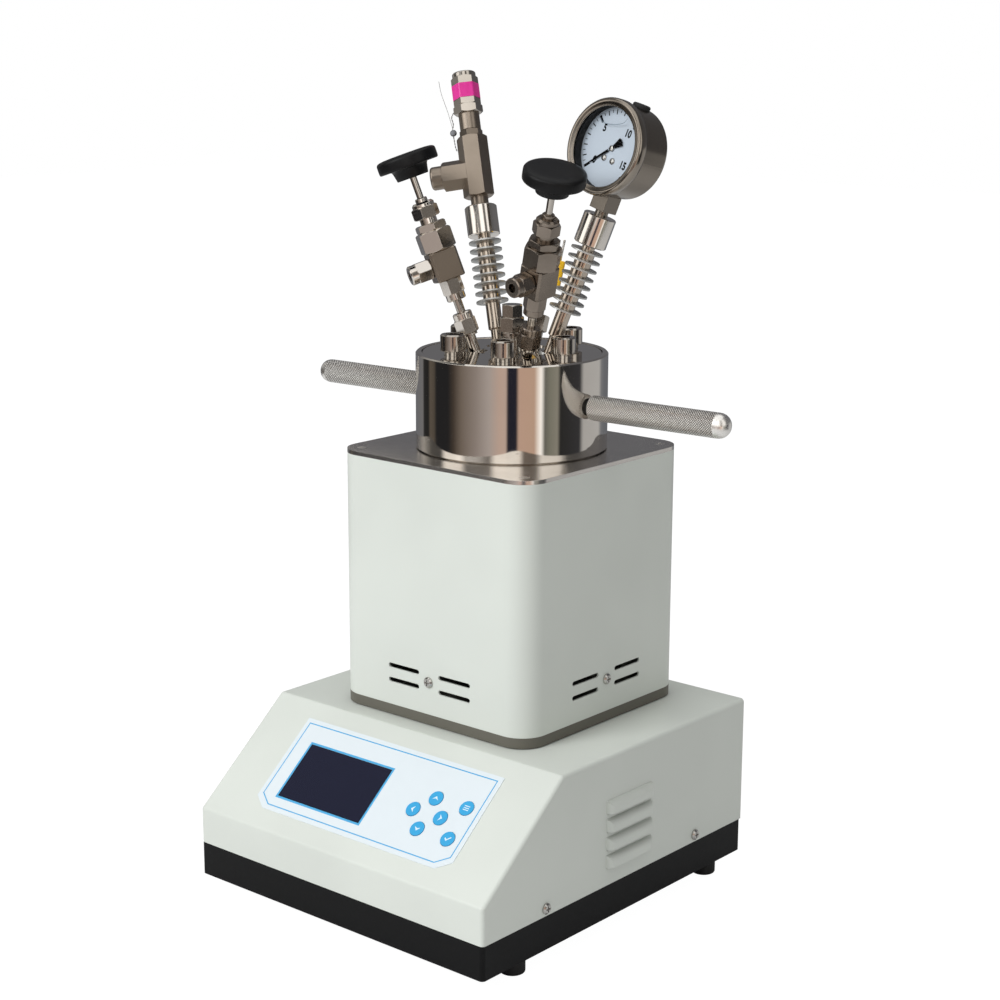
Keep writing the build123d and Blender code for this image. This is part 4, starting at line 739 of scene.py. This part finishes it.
class REACTOR_OT_key_marks(bpy.types.Operator):
    """Print the arrows, the list mark and the tick on the keys."""

    bl_idname = "reactor.key_marks"
    bl_label = "Key Marks"

    def execute(self, context):
        ink = plain("key_ink", rgb(226, 244, 252), 0.3, 0.02)
        turns = {"key_up": 0, "key_left": 90, "key_down": 180, "key_right": 270}
        bars = [
            [(-2.4, y - 0.32), (2.4, y - 0.32), (2.4, y + 0.32), (-2.4, y + 0.32)] for y in (-1.5, 0, 1.5)
        ]
        tick = [[(-2.6, -0.1), (-1.9, 0.6), (-0.7, -0.6), (2.1, 2.0), (2.7, 1.4), (-0.7, -1.9)]]
        shapes = {"key_set": bars, "key_ok": tick}
        for name, (x, y) in KEY_SPOTS.items():
            top = level_of(name, PANEL)
            bm = plates(shapes.get(name, [ARROW]), top + PRINT_LIFT, PRINT_HEIGHT)
            turn = Matrix.Rotation(math.radians(turns.get(name, 0)), 4, "Z")
            placed(bm, PANEL @ Matrix.Translation((x * MM, y * MM, 0)) @ turn)
            finish_piece(bm, name + "_mark", ink, name + "_button", smooth=False)
        return {"FINISHED"}


GAUGE_HUB = Vector(JOINTS["pointer_turn"]["pos_m"])
GAUGE_OUT = -Vector(JOINTS["pointer_turn"]["axis"])
PORT_TILT, PORT_CIRCLE, LID_TOP = 20.0, 27.0, 394.5


def port_axis(azimuth):
    """The way a port points, leaning outwards from the lid."""
    a, t = math.radians(azimuth + VESSEL_TURN), math.radians(PORT_TILT)
    return Vector((math.sin(t) * math.cos(a), math.sin(t) * math.sin(a), math.cos(t)))


def port_frame(azimuth, face):
    """The frame of a port: Z up its axis, X to the side it faces, and its origin on the lid."""
    a, b = math.radians(azimuth + VESSEL_TURN), math.radians(face)
    out = Vector((math.cos(a), math.sin(a), 0)) * PORT_CIRCLE * MM
    origin = Vector((0, VESSEL_Y, LID_TOP * MM)) + out
    return frame_of(origin, port_axis(azimuth), (math.cos(b), math.sin(b), 0))


GAUGE = frame_of(GAUGE_HUB, GAUGE_OUT, port_axis(30.0).cross(GAUGE_OUT))
SCALE_START, SCALE_SWEEP, SCALE_FULL, SCALE_RADIUS = 225.0, 270.0, 16, 27.4


def scale_angle(units):
    """Where a reading stands on the dial, in radians."""
    return math.radians(SCALE_START - SCALE_SWEEP * units / SCALE_FULL)


def on_dial(radius, angle, height=0.0):
    """A spot on the dial, in mm of the gauge's frame."""
    return Vector((radius * math.cos(angle), radius * math.sin(angle), height))


class REACTOR_OT_dial(bpy.types.Operator):
    """Print the dial's scale and figures, and add its screws and the edge of its liquid."""

    bl_idname = "reactor.dial"
    bl_label = "Dial"

    def execute(self, context):
        top = level_of("gauge_dial", GAUGE)
        black = plain("dial_ink", rgb(10, 10, 11), 0.6, IOR=1.1)
        ticks = []
        for step in range(2 * SCALE_FULL + 1):
            units = step / 2
            angle = scale_angle(units)
            inner, half = (23.9, 0.42) if units % 1 == 0 else (25.2, 0.24)
            if units % 5 == 0:
                inner, half = 21.9, 1.0
            aside = on_dial(half, angle + math.pi / 2)
            start, end = on_dial(inner, angle), on_dial(SCALE_RADIUS, angle)
            ticks.append([spot.to_2d() for spot in (start - aside, end - aside, end + aside, start + aside)])
        bm = plates(ticks, top + PRINT_LIFT, PRINT_HEIGHT)
        bmesh.ops.create_circle(
            bm, cap_ends=True, segments=20, radius=1.2 * MM,
            matrix=Matrix.Translation(on_dial(23.4, scale_angle(SCALE_FULL), top + 0.05) * MM),
        )
        finish_piece(placed(bm, GAUGE), "dial_scale", black, "reactor", smooth=False)

        for units, reach in ((0, 17.4), (5, 17.2), (10, 16.6), (15, 16.8)):
            text = bpy.data.curves.new("figure_%d" % units, "FONT")
            text.body, text.size = str(units), 7.4 * MM
            text.align_x, text.align_y = "CENTER", "CENTER"
            text.extrude = 0.02 * MM
            text.offset = 0.3 * MM
            holder = bpy.data.objects.new("figure_text", text)
            context.scene.collection.objects.link(holder)
            graph = context.evaluated_depsgraph_get()
            mesh = bpy.data.meshes.new_from_object(holder.evaluated_get(graph))
            bpy.data.objects.remove(holder)
            bm = bmesh.new()
            bm.from_mesh(mesh)
            spot = Matrix.Translation(on_dial(reach, scale_angle(units), top + 0.04) * MM)
            narrow = Matrix.Diagonal((0.82, 1.0, 1.0, 1.0))
            bmesh.ops.transform(bm, matrix=GAUGE @ spot @ narrow, verts=bm.verts[:])
            finish_piece(bm, "dial_figure_%d" % units, black, "reactor", smooth=False)

        up = (GAUGE.inverted().to_3x3() @ Vector((0, 0, 1))).normalized()
        side = Vector((up.y, -up.x, 0)).normalized()
        up = Vector((-side.y, side.x, 0))
        depth, half_length, half_width = top + 3.2, 12.8, 0.22
        line = bmesh.new()
        rows = []
        for step in range(25):
            u = step / 12 - 1
            lift = 17.6 + 3.4 * abs(u) ** 6 - 1.2 * (1 - u * u)
            spot = side * (half_length * u) + up * lift + Vector((0, 0, depth))
            rows.append([line.verts.new((spot + up * w) * MM) for w in (-half_width, half_width)])
        for first, second in zip(rows, rows[1:]):
            line.faces.new((first[0], second[0], second[1], first[1]))
        raise_faces(line, line.faces[:], PRINT_HEIGHT)
        wet = plain("liquid_line", rgb(120, 136, 150), 0.2, 0.02)
        finish_piece(placed(line, GAUGE), "dial_liquid", wet, "reactor", smooth=False)

        bright = steel("dial_screw", rgb(205, 203, 200), 0.2)
        bm = bmesh.new()
        head = [(0, 1.1), (1.488, 0.95), (2.28, 0.5), (2.4, 0.0)]
        for x in (-4.2, 4.2):
            join_turned(bm, head, Matrix.Translation((x * MM, -8.1 * MM, top * MM)), 24)
        bmesh.ops.transform(bm, matrix=GAUGE, verts=bm.verts[:])
        finish_piece(bm, "dial_screws", bright, "reactor")
        return {"FINISHED"}


class REACTOR_OT_bezel(bpy.types.Operator):
    """Roll the gauge's bezel ring and line the case behind the glass with a black ring, painted shade on the
    case's inner wall.
    """

    bl_idname = "reactor.bezel"
    bl_label = "Bezel"

    def execute(self, context):
        front = level_of("gauge_bezel", GAUGE)
        rim, bore, lip, back, seat = 34.5, 32.6, 28.4, front - 8.0, front - 1.95
        crown = [
            (rim - 2.4 + 2.4 * math.cos(t), front - 3.2 + 3.2 * math.sin(t))
            for t in (math.radians(15 * n) for n in range(7))
        ]
        profile = [
            (bore, back), (rim - 0.6, back), (rim, back + 0.6), *crown, (30.9, front - 0.2),
            (29.9, front - 0.9), (29.2, front - 0.95), (lip, front - 1.3), (lip, seat), (bore, seat),
            (bore, back),
        ]
        bm = bmesh.new()
        join_turned(bm, profile, GAUGE, 96)
        ring = steel("bezel_steel", rgb(158, 149, 138), 0.16, edge=0.5, stain=0.1)
        finish_piece(bm, "bezel_ring", ring, "reactor", ["gauge_bezel"])

        # A black ring lines the case's inner wall between dial and glass: painted shade where that wall lies in
        # shade.
        low, high, inner, outer = level_of("gauge_dial", GAUGE) + 0.05, front - 4.1, 29.1, 30.5
        bm = bmesh.new()
        join_turned(bm, [(outer, low), (inner, low), (inner, high), (outer, high), (outer, low)], GAUGE, 96)
        dark = moulded("case_wall_shade", rgb(12, 12, 13), 0.7)
        finish_piece(bm, "case_wall_shade", dark, "reactor", smooth=False)
        return {"FINISHED"}


class REACTOR_OT_pointer(bpy.types.Operator):
    """Make the gauge's pointer, its fan-shaped tail and its bright hub."""

    bl_idname = "reactor.pointer"
    bl_label = "Pointer"

    def execute(self, context):
        paint = plain("pointer_paint", rgb(8, 8, 9), 0.6, IOR=1.1)
        low = min((GAUGE.inverted() @ v.co).z for v in SOLIDS["gauge_pointer"].data.vertices) / MM
        top = level_of("gauge_pointer", GAUGE)
        fan = [(-9.6, 3.1), (-10.1, 1.6), (-10.3, 0.0), (-10.1, -1.6), (-9.6, -3.1)]
        needle = [(3.0, -0.95), (23.8, -0.28), (23.8, 0.28), (3.0, 0.95)]
        tail = [(2.0, -1.0), (2.0, 1.0), (-2.0, 1.0), *fan, (-2.0, -1.0)]
        bm = plates([needle, tail], top - 0.5, 0.45)
        placed(bm, GAUGE @ Matrix.Rotation(scale_angle(0), 4, "Z"))
        finish_piece(bm, "needle", paint, "pointer", ["gauge_pointer"], smooth=False)
        hub, arbor, foot = 2.1, 0.9, low + 0.5
        profile = [
            (0, top), (1.7, top - 0.02), (hub, top - 0.25), (hub, top - 0.8), (arbor, top - 0.85),
            (arbor, foot), (0, foot),
        ]
        bm = bmesh.new()
        join_turned(bm, profile, GAUGE, 32)
        finish_piece(bm, "pointer_hub", steel("hub_steel", rgb(206, 204, 200), 0.2), "pointer")
        return {"FINISHED"}


class REACTOR_OT_handles(bpy.types.Operator):
    """Make the knurled carrying rods with their domed ends and necks, with painted shade in the knurl's valleys
    and on the necks.
    """

    bl_idname = "reactor.handles"
    bl_label = "Handles"

    def execute(self, context):
        low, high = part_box("handles")
        turn = math.radians(VESSEL_TURN)
        centre = Vector((0, VESSEL_Y, (low.z + high.z) / 2))
        axis = Vector((math.cos(turn), math.sin(turn), 0))
        reach = high.x / MM / math.cos(turn)
        finish = Finish("knurled")
        x, y, z = finish.within(frame_of(centre, axis, (0, 0, 1)))
        around = y.atan2(x) * 9.0
        along = z * 1000.0
        pitch = 1.9
        first = ((around + along) * (math.pi / pitch)).sin().abs()
        second = ((around - along) * (math.pi / pitch)).sin().abs()
        far = along.abs()
        ridge = first.least(second) * far.smooth(reach - 9.0, reach - 8.6, 1.0, 0.0)
        # The knurl's valleys are painted dark and its crests and smooth domed end light: painted shade in the
        # valleys of one bright steel.
        lit_crests = ridge.smooth(0.05, 0.5) + far.smooth(reach - 9.2, reach - 8.8)
        marks = finish.noise(finish.place(), 700.0, 2.0)
        knurl = finish.surface(
            Base_Color=finish.mix(lit_crests, rgb(92, 88, 84), rgb(246, 243, 238)),
            Metallic=1.0,
            Roughness=0.26 + 0.12 * marks,
            Normal=finish.bump(ridge, 0.5 * MM, 1.0),
        )
        # The rod's neck groove by the vessel is painted black: painted shade standing in for the shade in the
        # groove.
        dark = plain("neck_shade_black", rgb(20, 20, 21), 0.5)
        root, neck, radius, neck_radius = 66.0, 72.6, 8.95, 6.2
        profile = [
            (0.0, root), (neck_radius, root), (neck_radius, neck), (8.4, neck + 0.2), (radius, neck + 0.7),
            (radius, reach - 9.0), (8.8, reach - 7.2), (8.2, reach - 5.0), (7.1, reach - 3.2),
            (5.6, reach - 1.7), (3.8, reach - 0.65), (1.9, reach - 0.15), (0.0, reach - 0.02),
        ]
        bm = bmesh.new()
        for side in (1, -1):
            join_turned(bm, profile, frame_of(centre, axis * side, (0, 0, 1)), 96)
        rods = finish_piece(bm, "handle_rods", knurl, "reactor", ["handles"])
        rods.data.materials.append(dark)
        for face in rods.data.polygons:
            if abs((face.center - centre).dot(axis)) / MM < neck + 0.05:
                face.material_index = 1
        return {"FINISHED"}


class REACTOR_OT_handwheels(bpy.types.Operator):
    """Make the two grained handwheels."""

    bl_idname = "reactor.handwheels"
    bl_label = "Handwheels"

    def execute(self, context):
        finish = Finish("wheel_grain")
        spot = finish.place()
        grains = finish.noise(spot, 1500.0, 2.0, 0.65)
        cloud = finish.noise(spot, 90.0, 2.0)
        black = finish.surface(
            Base_Color=finish.mix(cloud, rgb(9, 9, 10), rgb(17, 17, 18)),
            IOR=1.32,
            Roughness=0.38 + 0.16 * (grains - 0.5),
            Normal=finish.bump(grains, 0.07 * MM, 0.9),
        )
        profile = [
            (2.6, -8.0), (11.2, -8.0), (11.6, -7.85), (11.75, -7.4), (12.2, -5.0), (12.9, -1.8), (13.5, -0.4),
            (14.4, 0.0), (17.0, -0.1), (20.9, -0.05), (21.7, 0.2), (22.1, 0.8), (22.2, 1.8), (22.24, 4.0),
            (22.2, 6.6), (22.05, 7.6), (21.6, 8.3), (20.8, 8.85), (19.4, 9.35), (16.0, 9.75), (11.0, 9.93),
            (5.0, 9.99), (0.0, 10.0),
        ]
        for side, rise in (("a", 55.0), ("b", 50.0)):
            joint = JOINTS["valve_%s_turn" % side]
            axis = Vector(joint["axis"])
            matrix = frame_of(Vector(joint["pos_m"]) + axis * rise * MM, axis)
            bm = bmesh.new()
            turned(bm, profile, matrix, 80)
            name = "valve_%s_handwheel" % side
            finish_piece(bm, "wheel_" + side, black, "valve_%s_spindle" % side, [name])
        return {"FINISHED"}


PORT_C = port_frame(150.0, 212.0)


def corner_angle(name, matrix, low, high):
    """The angle about a matrix's Z at which a solid has a corner between two heights in mm."""
    back = matrix.inverted()
    spots = [back @ v.co for v in SOLIDS[name].data.vertices]
    spots = [p for p in spots if low < p.z / MM < high] or spots
    far = max(spots, key=lambda p: math.hypot(p.x, p.y))
    return math.atan2(far.y, far.x)


def uprights(bm):
    """The edges of a bmesh that run up it."""
    return [e for e in bm.edges if abs(e.verts[0].co.z - e.verts[1].co.z) > 1 * MM]


class REACTOR_OT_relief_band(bpy.types.Operator):
    """Wrap the plain coloured tape round the relief valve's cap."""

    bl_idname = "reactor.relief_band"
    bl_label = "Relief Band"

    def execute(self, context):
        finish = Finish("band_tape")
        spot = finish.place()
        crease_and_shade = finish.noise(finish.place(scale=(1, 1, 0.35)), 260.0, 3.0, 0.6)
        tape = finish.surface(
            # The tape is painted darker where its crinkle sinks: painted shade in the creases, on top of the bump.
            Base_Color=finish.mix(crease_and_shade, rgb(206, 26, 130), rgb(244, 60, 168)),
            Roughness=0.30 + 0.15 * finish.noise(spot, 500.0),
            Normal=finish.bump(crease_and_shade, 0.12 * MM, 0.8),
        )
        flats, lap, width, middle = 17.6, 0.08, 11.0, 192.8
        radius = (flats / 2 + lap) / math.cos(math.radians(30)) * MM
        bm = bmesh.new()
        bmesh.ops.create_cone(
            bm, cap_ends=False, segments=6, radius1=radius, radius2=radius, depth=width * MM,
            matrix=Matrix.Translation((0, 0, middle * MM)),
        )
        bm.verts.ensure_lookup_table()
        corner = bm.verts[0].co
        spin = corner_angle("relief_cap", PORT_C, 186.0, 206.0) - math.atan2(corner.y, corner.x)
        bmesh.ops.rotate(bm, matrix=Matrix.Rotation(spin, 3, "Z"), verts=bm.verts[:])
        bmesh.ops.bevel(
            bm, geom=uprights(bm), offset=0.8 * MM, affect="EDGES", segments=3, profile=0.5, material=-1
        )
        bmesh.ops.subdivide_edges(bm, edges=uprights(bm), cuts=3)
        bmesh.ops.recalc_face_normals(bm, faces=bm.faces[:])
        bmesh.ops.solidify(bm, geom=bm.faces[:], thickness=-0.25 * MM)
        finish_piece(placed(bm, PORT_C), "relief_band", tape, "reactor", smooth=False)
        return {"FINISHED"}


class REACTOR_OT_sensor_pin(bpy.types.Operator):
    """Sleeve the bare metal pin that stands out of the sensor's connector."""

    bl_idname = "reactor.sensor_pin"
    bl_label = "Sensor Pin"

    def execute(self, context):
        port = port_frame(90.0, 40.0)
        end, foot, aside, radius = level_of("sensor_connector", port) + 0.1, 66.05, 5.0, 0.84
        profile = [(0, end), (radius - 0.2, end), (radius, end - 0.3), (radius, foot), (0, foot)]
        bm = bmesh.new()
        join_turned(bm, profile, port @ Matrix.Translation((aside * MM, 0, 0)), 16)
        bare = steel("pin_steel", rgb(196, 192, 186), 0.25)
        finish_piece(bm, "sensor_pin", bare, "reactor")
        return {"FINISHED"}


class REACTOR_OT_seal_wire(bpy.types.Operator):
    """Twist the seal's wire, with its crimped lead and its loose end."""

    bl_idname = "reactor.seal_wire"
    bl_label = "Seal Wire"

    def execute(self, context):
        route = eased([(11.2, 0, 179.0), (13.0, 0.3, 175.4), (12.5, -0.3, 170.5), (13.5, 0.2, 166.6)], 16)
        lower = eased([(13.4, 0.2, 161.2), (13.2, -0.4, 157.0), (12.9, 0.3, 153.0), (12.2, 0, 149.8)], 14)
        free = eased([
            (13.0, 0.2, 164.8), (13.9, 0.3, 171.0), (15.6, 0.1, 181.0), (18.6, -0.2, 195.0), (19.3, 0, 204.5),
        ])
        bm = bmesh.new()
        for path, pitch in ((route, 2.6), (lower, 2.4)):
            for phase in (0.0, math.pi):
                strand, length, across = [], 0.0, Vector((0, 1, 0))
                for index, point in enumerate(path):
                    before, after = path[max(index - 1, 0)], path[min(index + 1, len(path) - 1)]
                    way = (after - before).normalized()
                    length += (point - before).length
                    aside = (across - way * across.dot(way)).normalized()
                    angle = math.tau * length / pitch / 2 + phase
                    out = aside * math.cos(angle) + way.cross(aside) * math.sin(angle)
                    strand.append(point + out * 0.24)
                tube(bm, strand, 0.2)
        tube(bm, free, 0.17)
        wire = steel("seal_steel", rgb(150, 149, 146), 0.25)
        finish_piece(placed(bm, PORT_C), "seal_strands", wire, "reactor", ["seal_wire"])
        bm = bmesh.new()
        half = [(2.5, 0.3), (2.3, 0.9), (1.6, 1.15), (0, 1.1)]
        lead = [(r, -h) for r, h in reversed(half)] + half
        join_turned(bm, lead, frame_of((13.2 * MM, 0, 163.7 * MM), (0, 1, 0)), 32)
        soft = steel("lead", rgb(120, 121, 124), 0.5, edge=0.1, stain=0.3)
        finish_piece(placed(bm, PORT_C), "seal_lead", soft, "reactor")
        return {"FINISHED"}


class REACTOR_PT_panel(bpy.types.Panel):
    """The reactor's settings and steps."""

    bl_idname = "REACTOR_PT_panel"
    bl_label = "Hydrothermal Reactor"
    bl_space_type = "VIEW_3D"
    bl_region_type = "UI"
    bl_category = "Reactor"

    def draw(self, context):
        layout = self.layout
        for group in (context.scene.reactor_finishes, context.scene.reactor_stage):
            for key in group.__annotations__:
                layout.prop(group, key)
        for step in STEPS:
            layout.operator(step.bl_idname)


STEPS = (
    REACTOR_OT_stage,
    REACTOR_OT_finishes,
    REACTOR_OT_film_print,
    REACTOR_OT_key_marks,
    REACTOR_OT_dial,
    REACTOR_OT_bezel,
    REACTOR_OT_pointer,
    REACTOR_OT_handles,
    REACTOR_OT_handwheels,
    REACTOR_OT_relief_band,
    REACTOR_OT_sensor_pin,
    REACTOR_OT_seal_wire,
)
CLASSES = (ReactorFinishes, ReactorStage, *STEPS, REACTOR_PT_panel)


def register():
    for cls in CLASSES:
        bpy.utils.register_class(cls)
    bpy.types.Scene.reactor_finishes = bpy.props.PointerProperty(type=ReactorFinishes)
    bpy.types.Scene.reactor_stage = bpy.props.PointerProperty(type=ReactorStage)


def unregister():
    del bpy.types.Scene.reactor_stage
    del bpy.types.Scene.reactor_finishes
    for cls in reversed(CLASSES):
        bpy.utils.unregister_class(cls)


def main():
    register()
    for step in STEPS:
        group, name = step.bl_idname.split(".")
        result = getattr(getattr(bpy.ops, group), name)()
        if result != {"FINISHED"}:
            raise RuntimeError(step.bl_label + " did not finish")


if __name__ == "__main__":
    main()
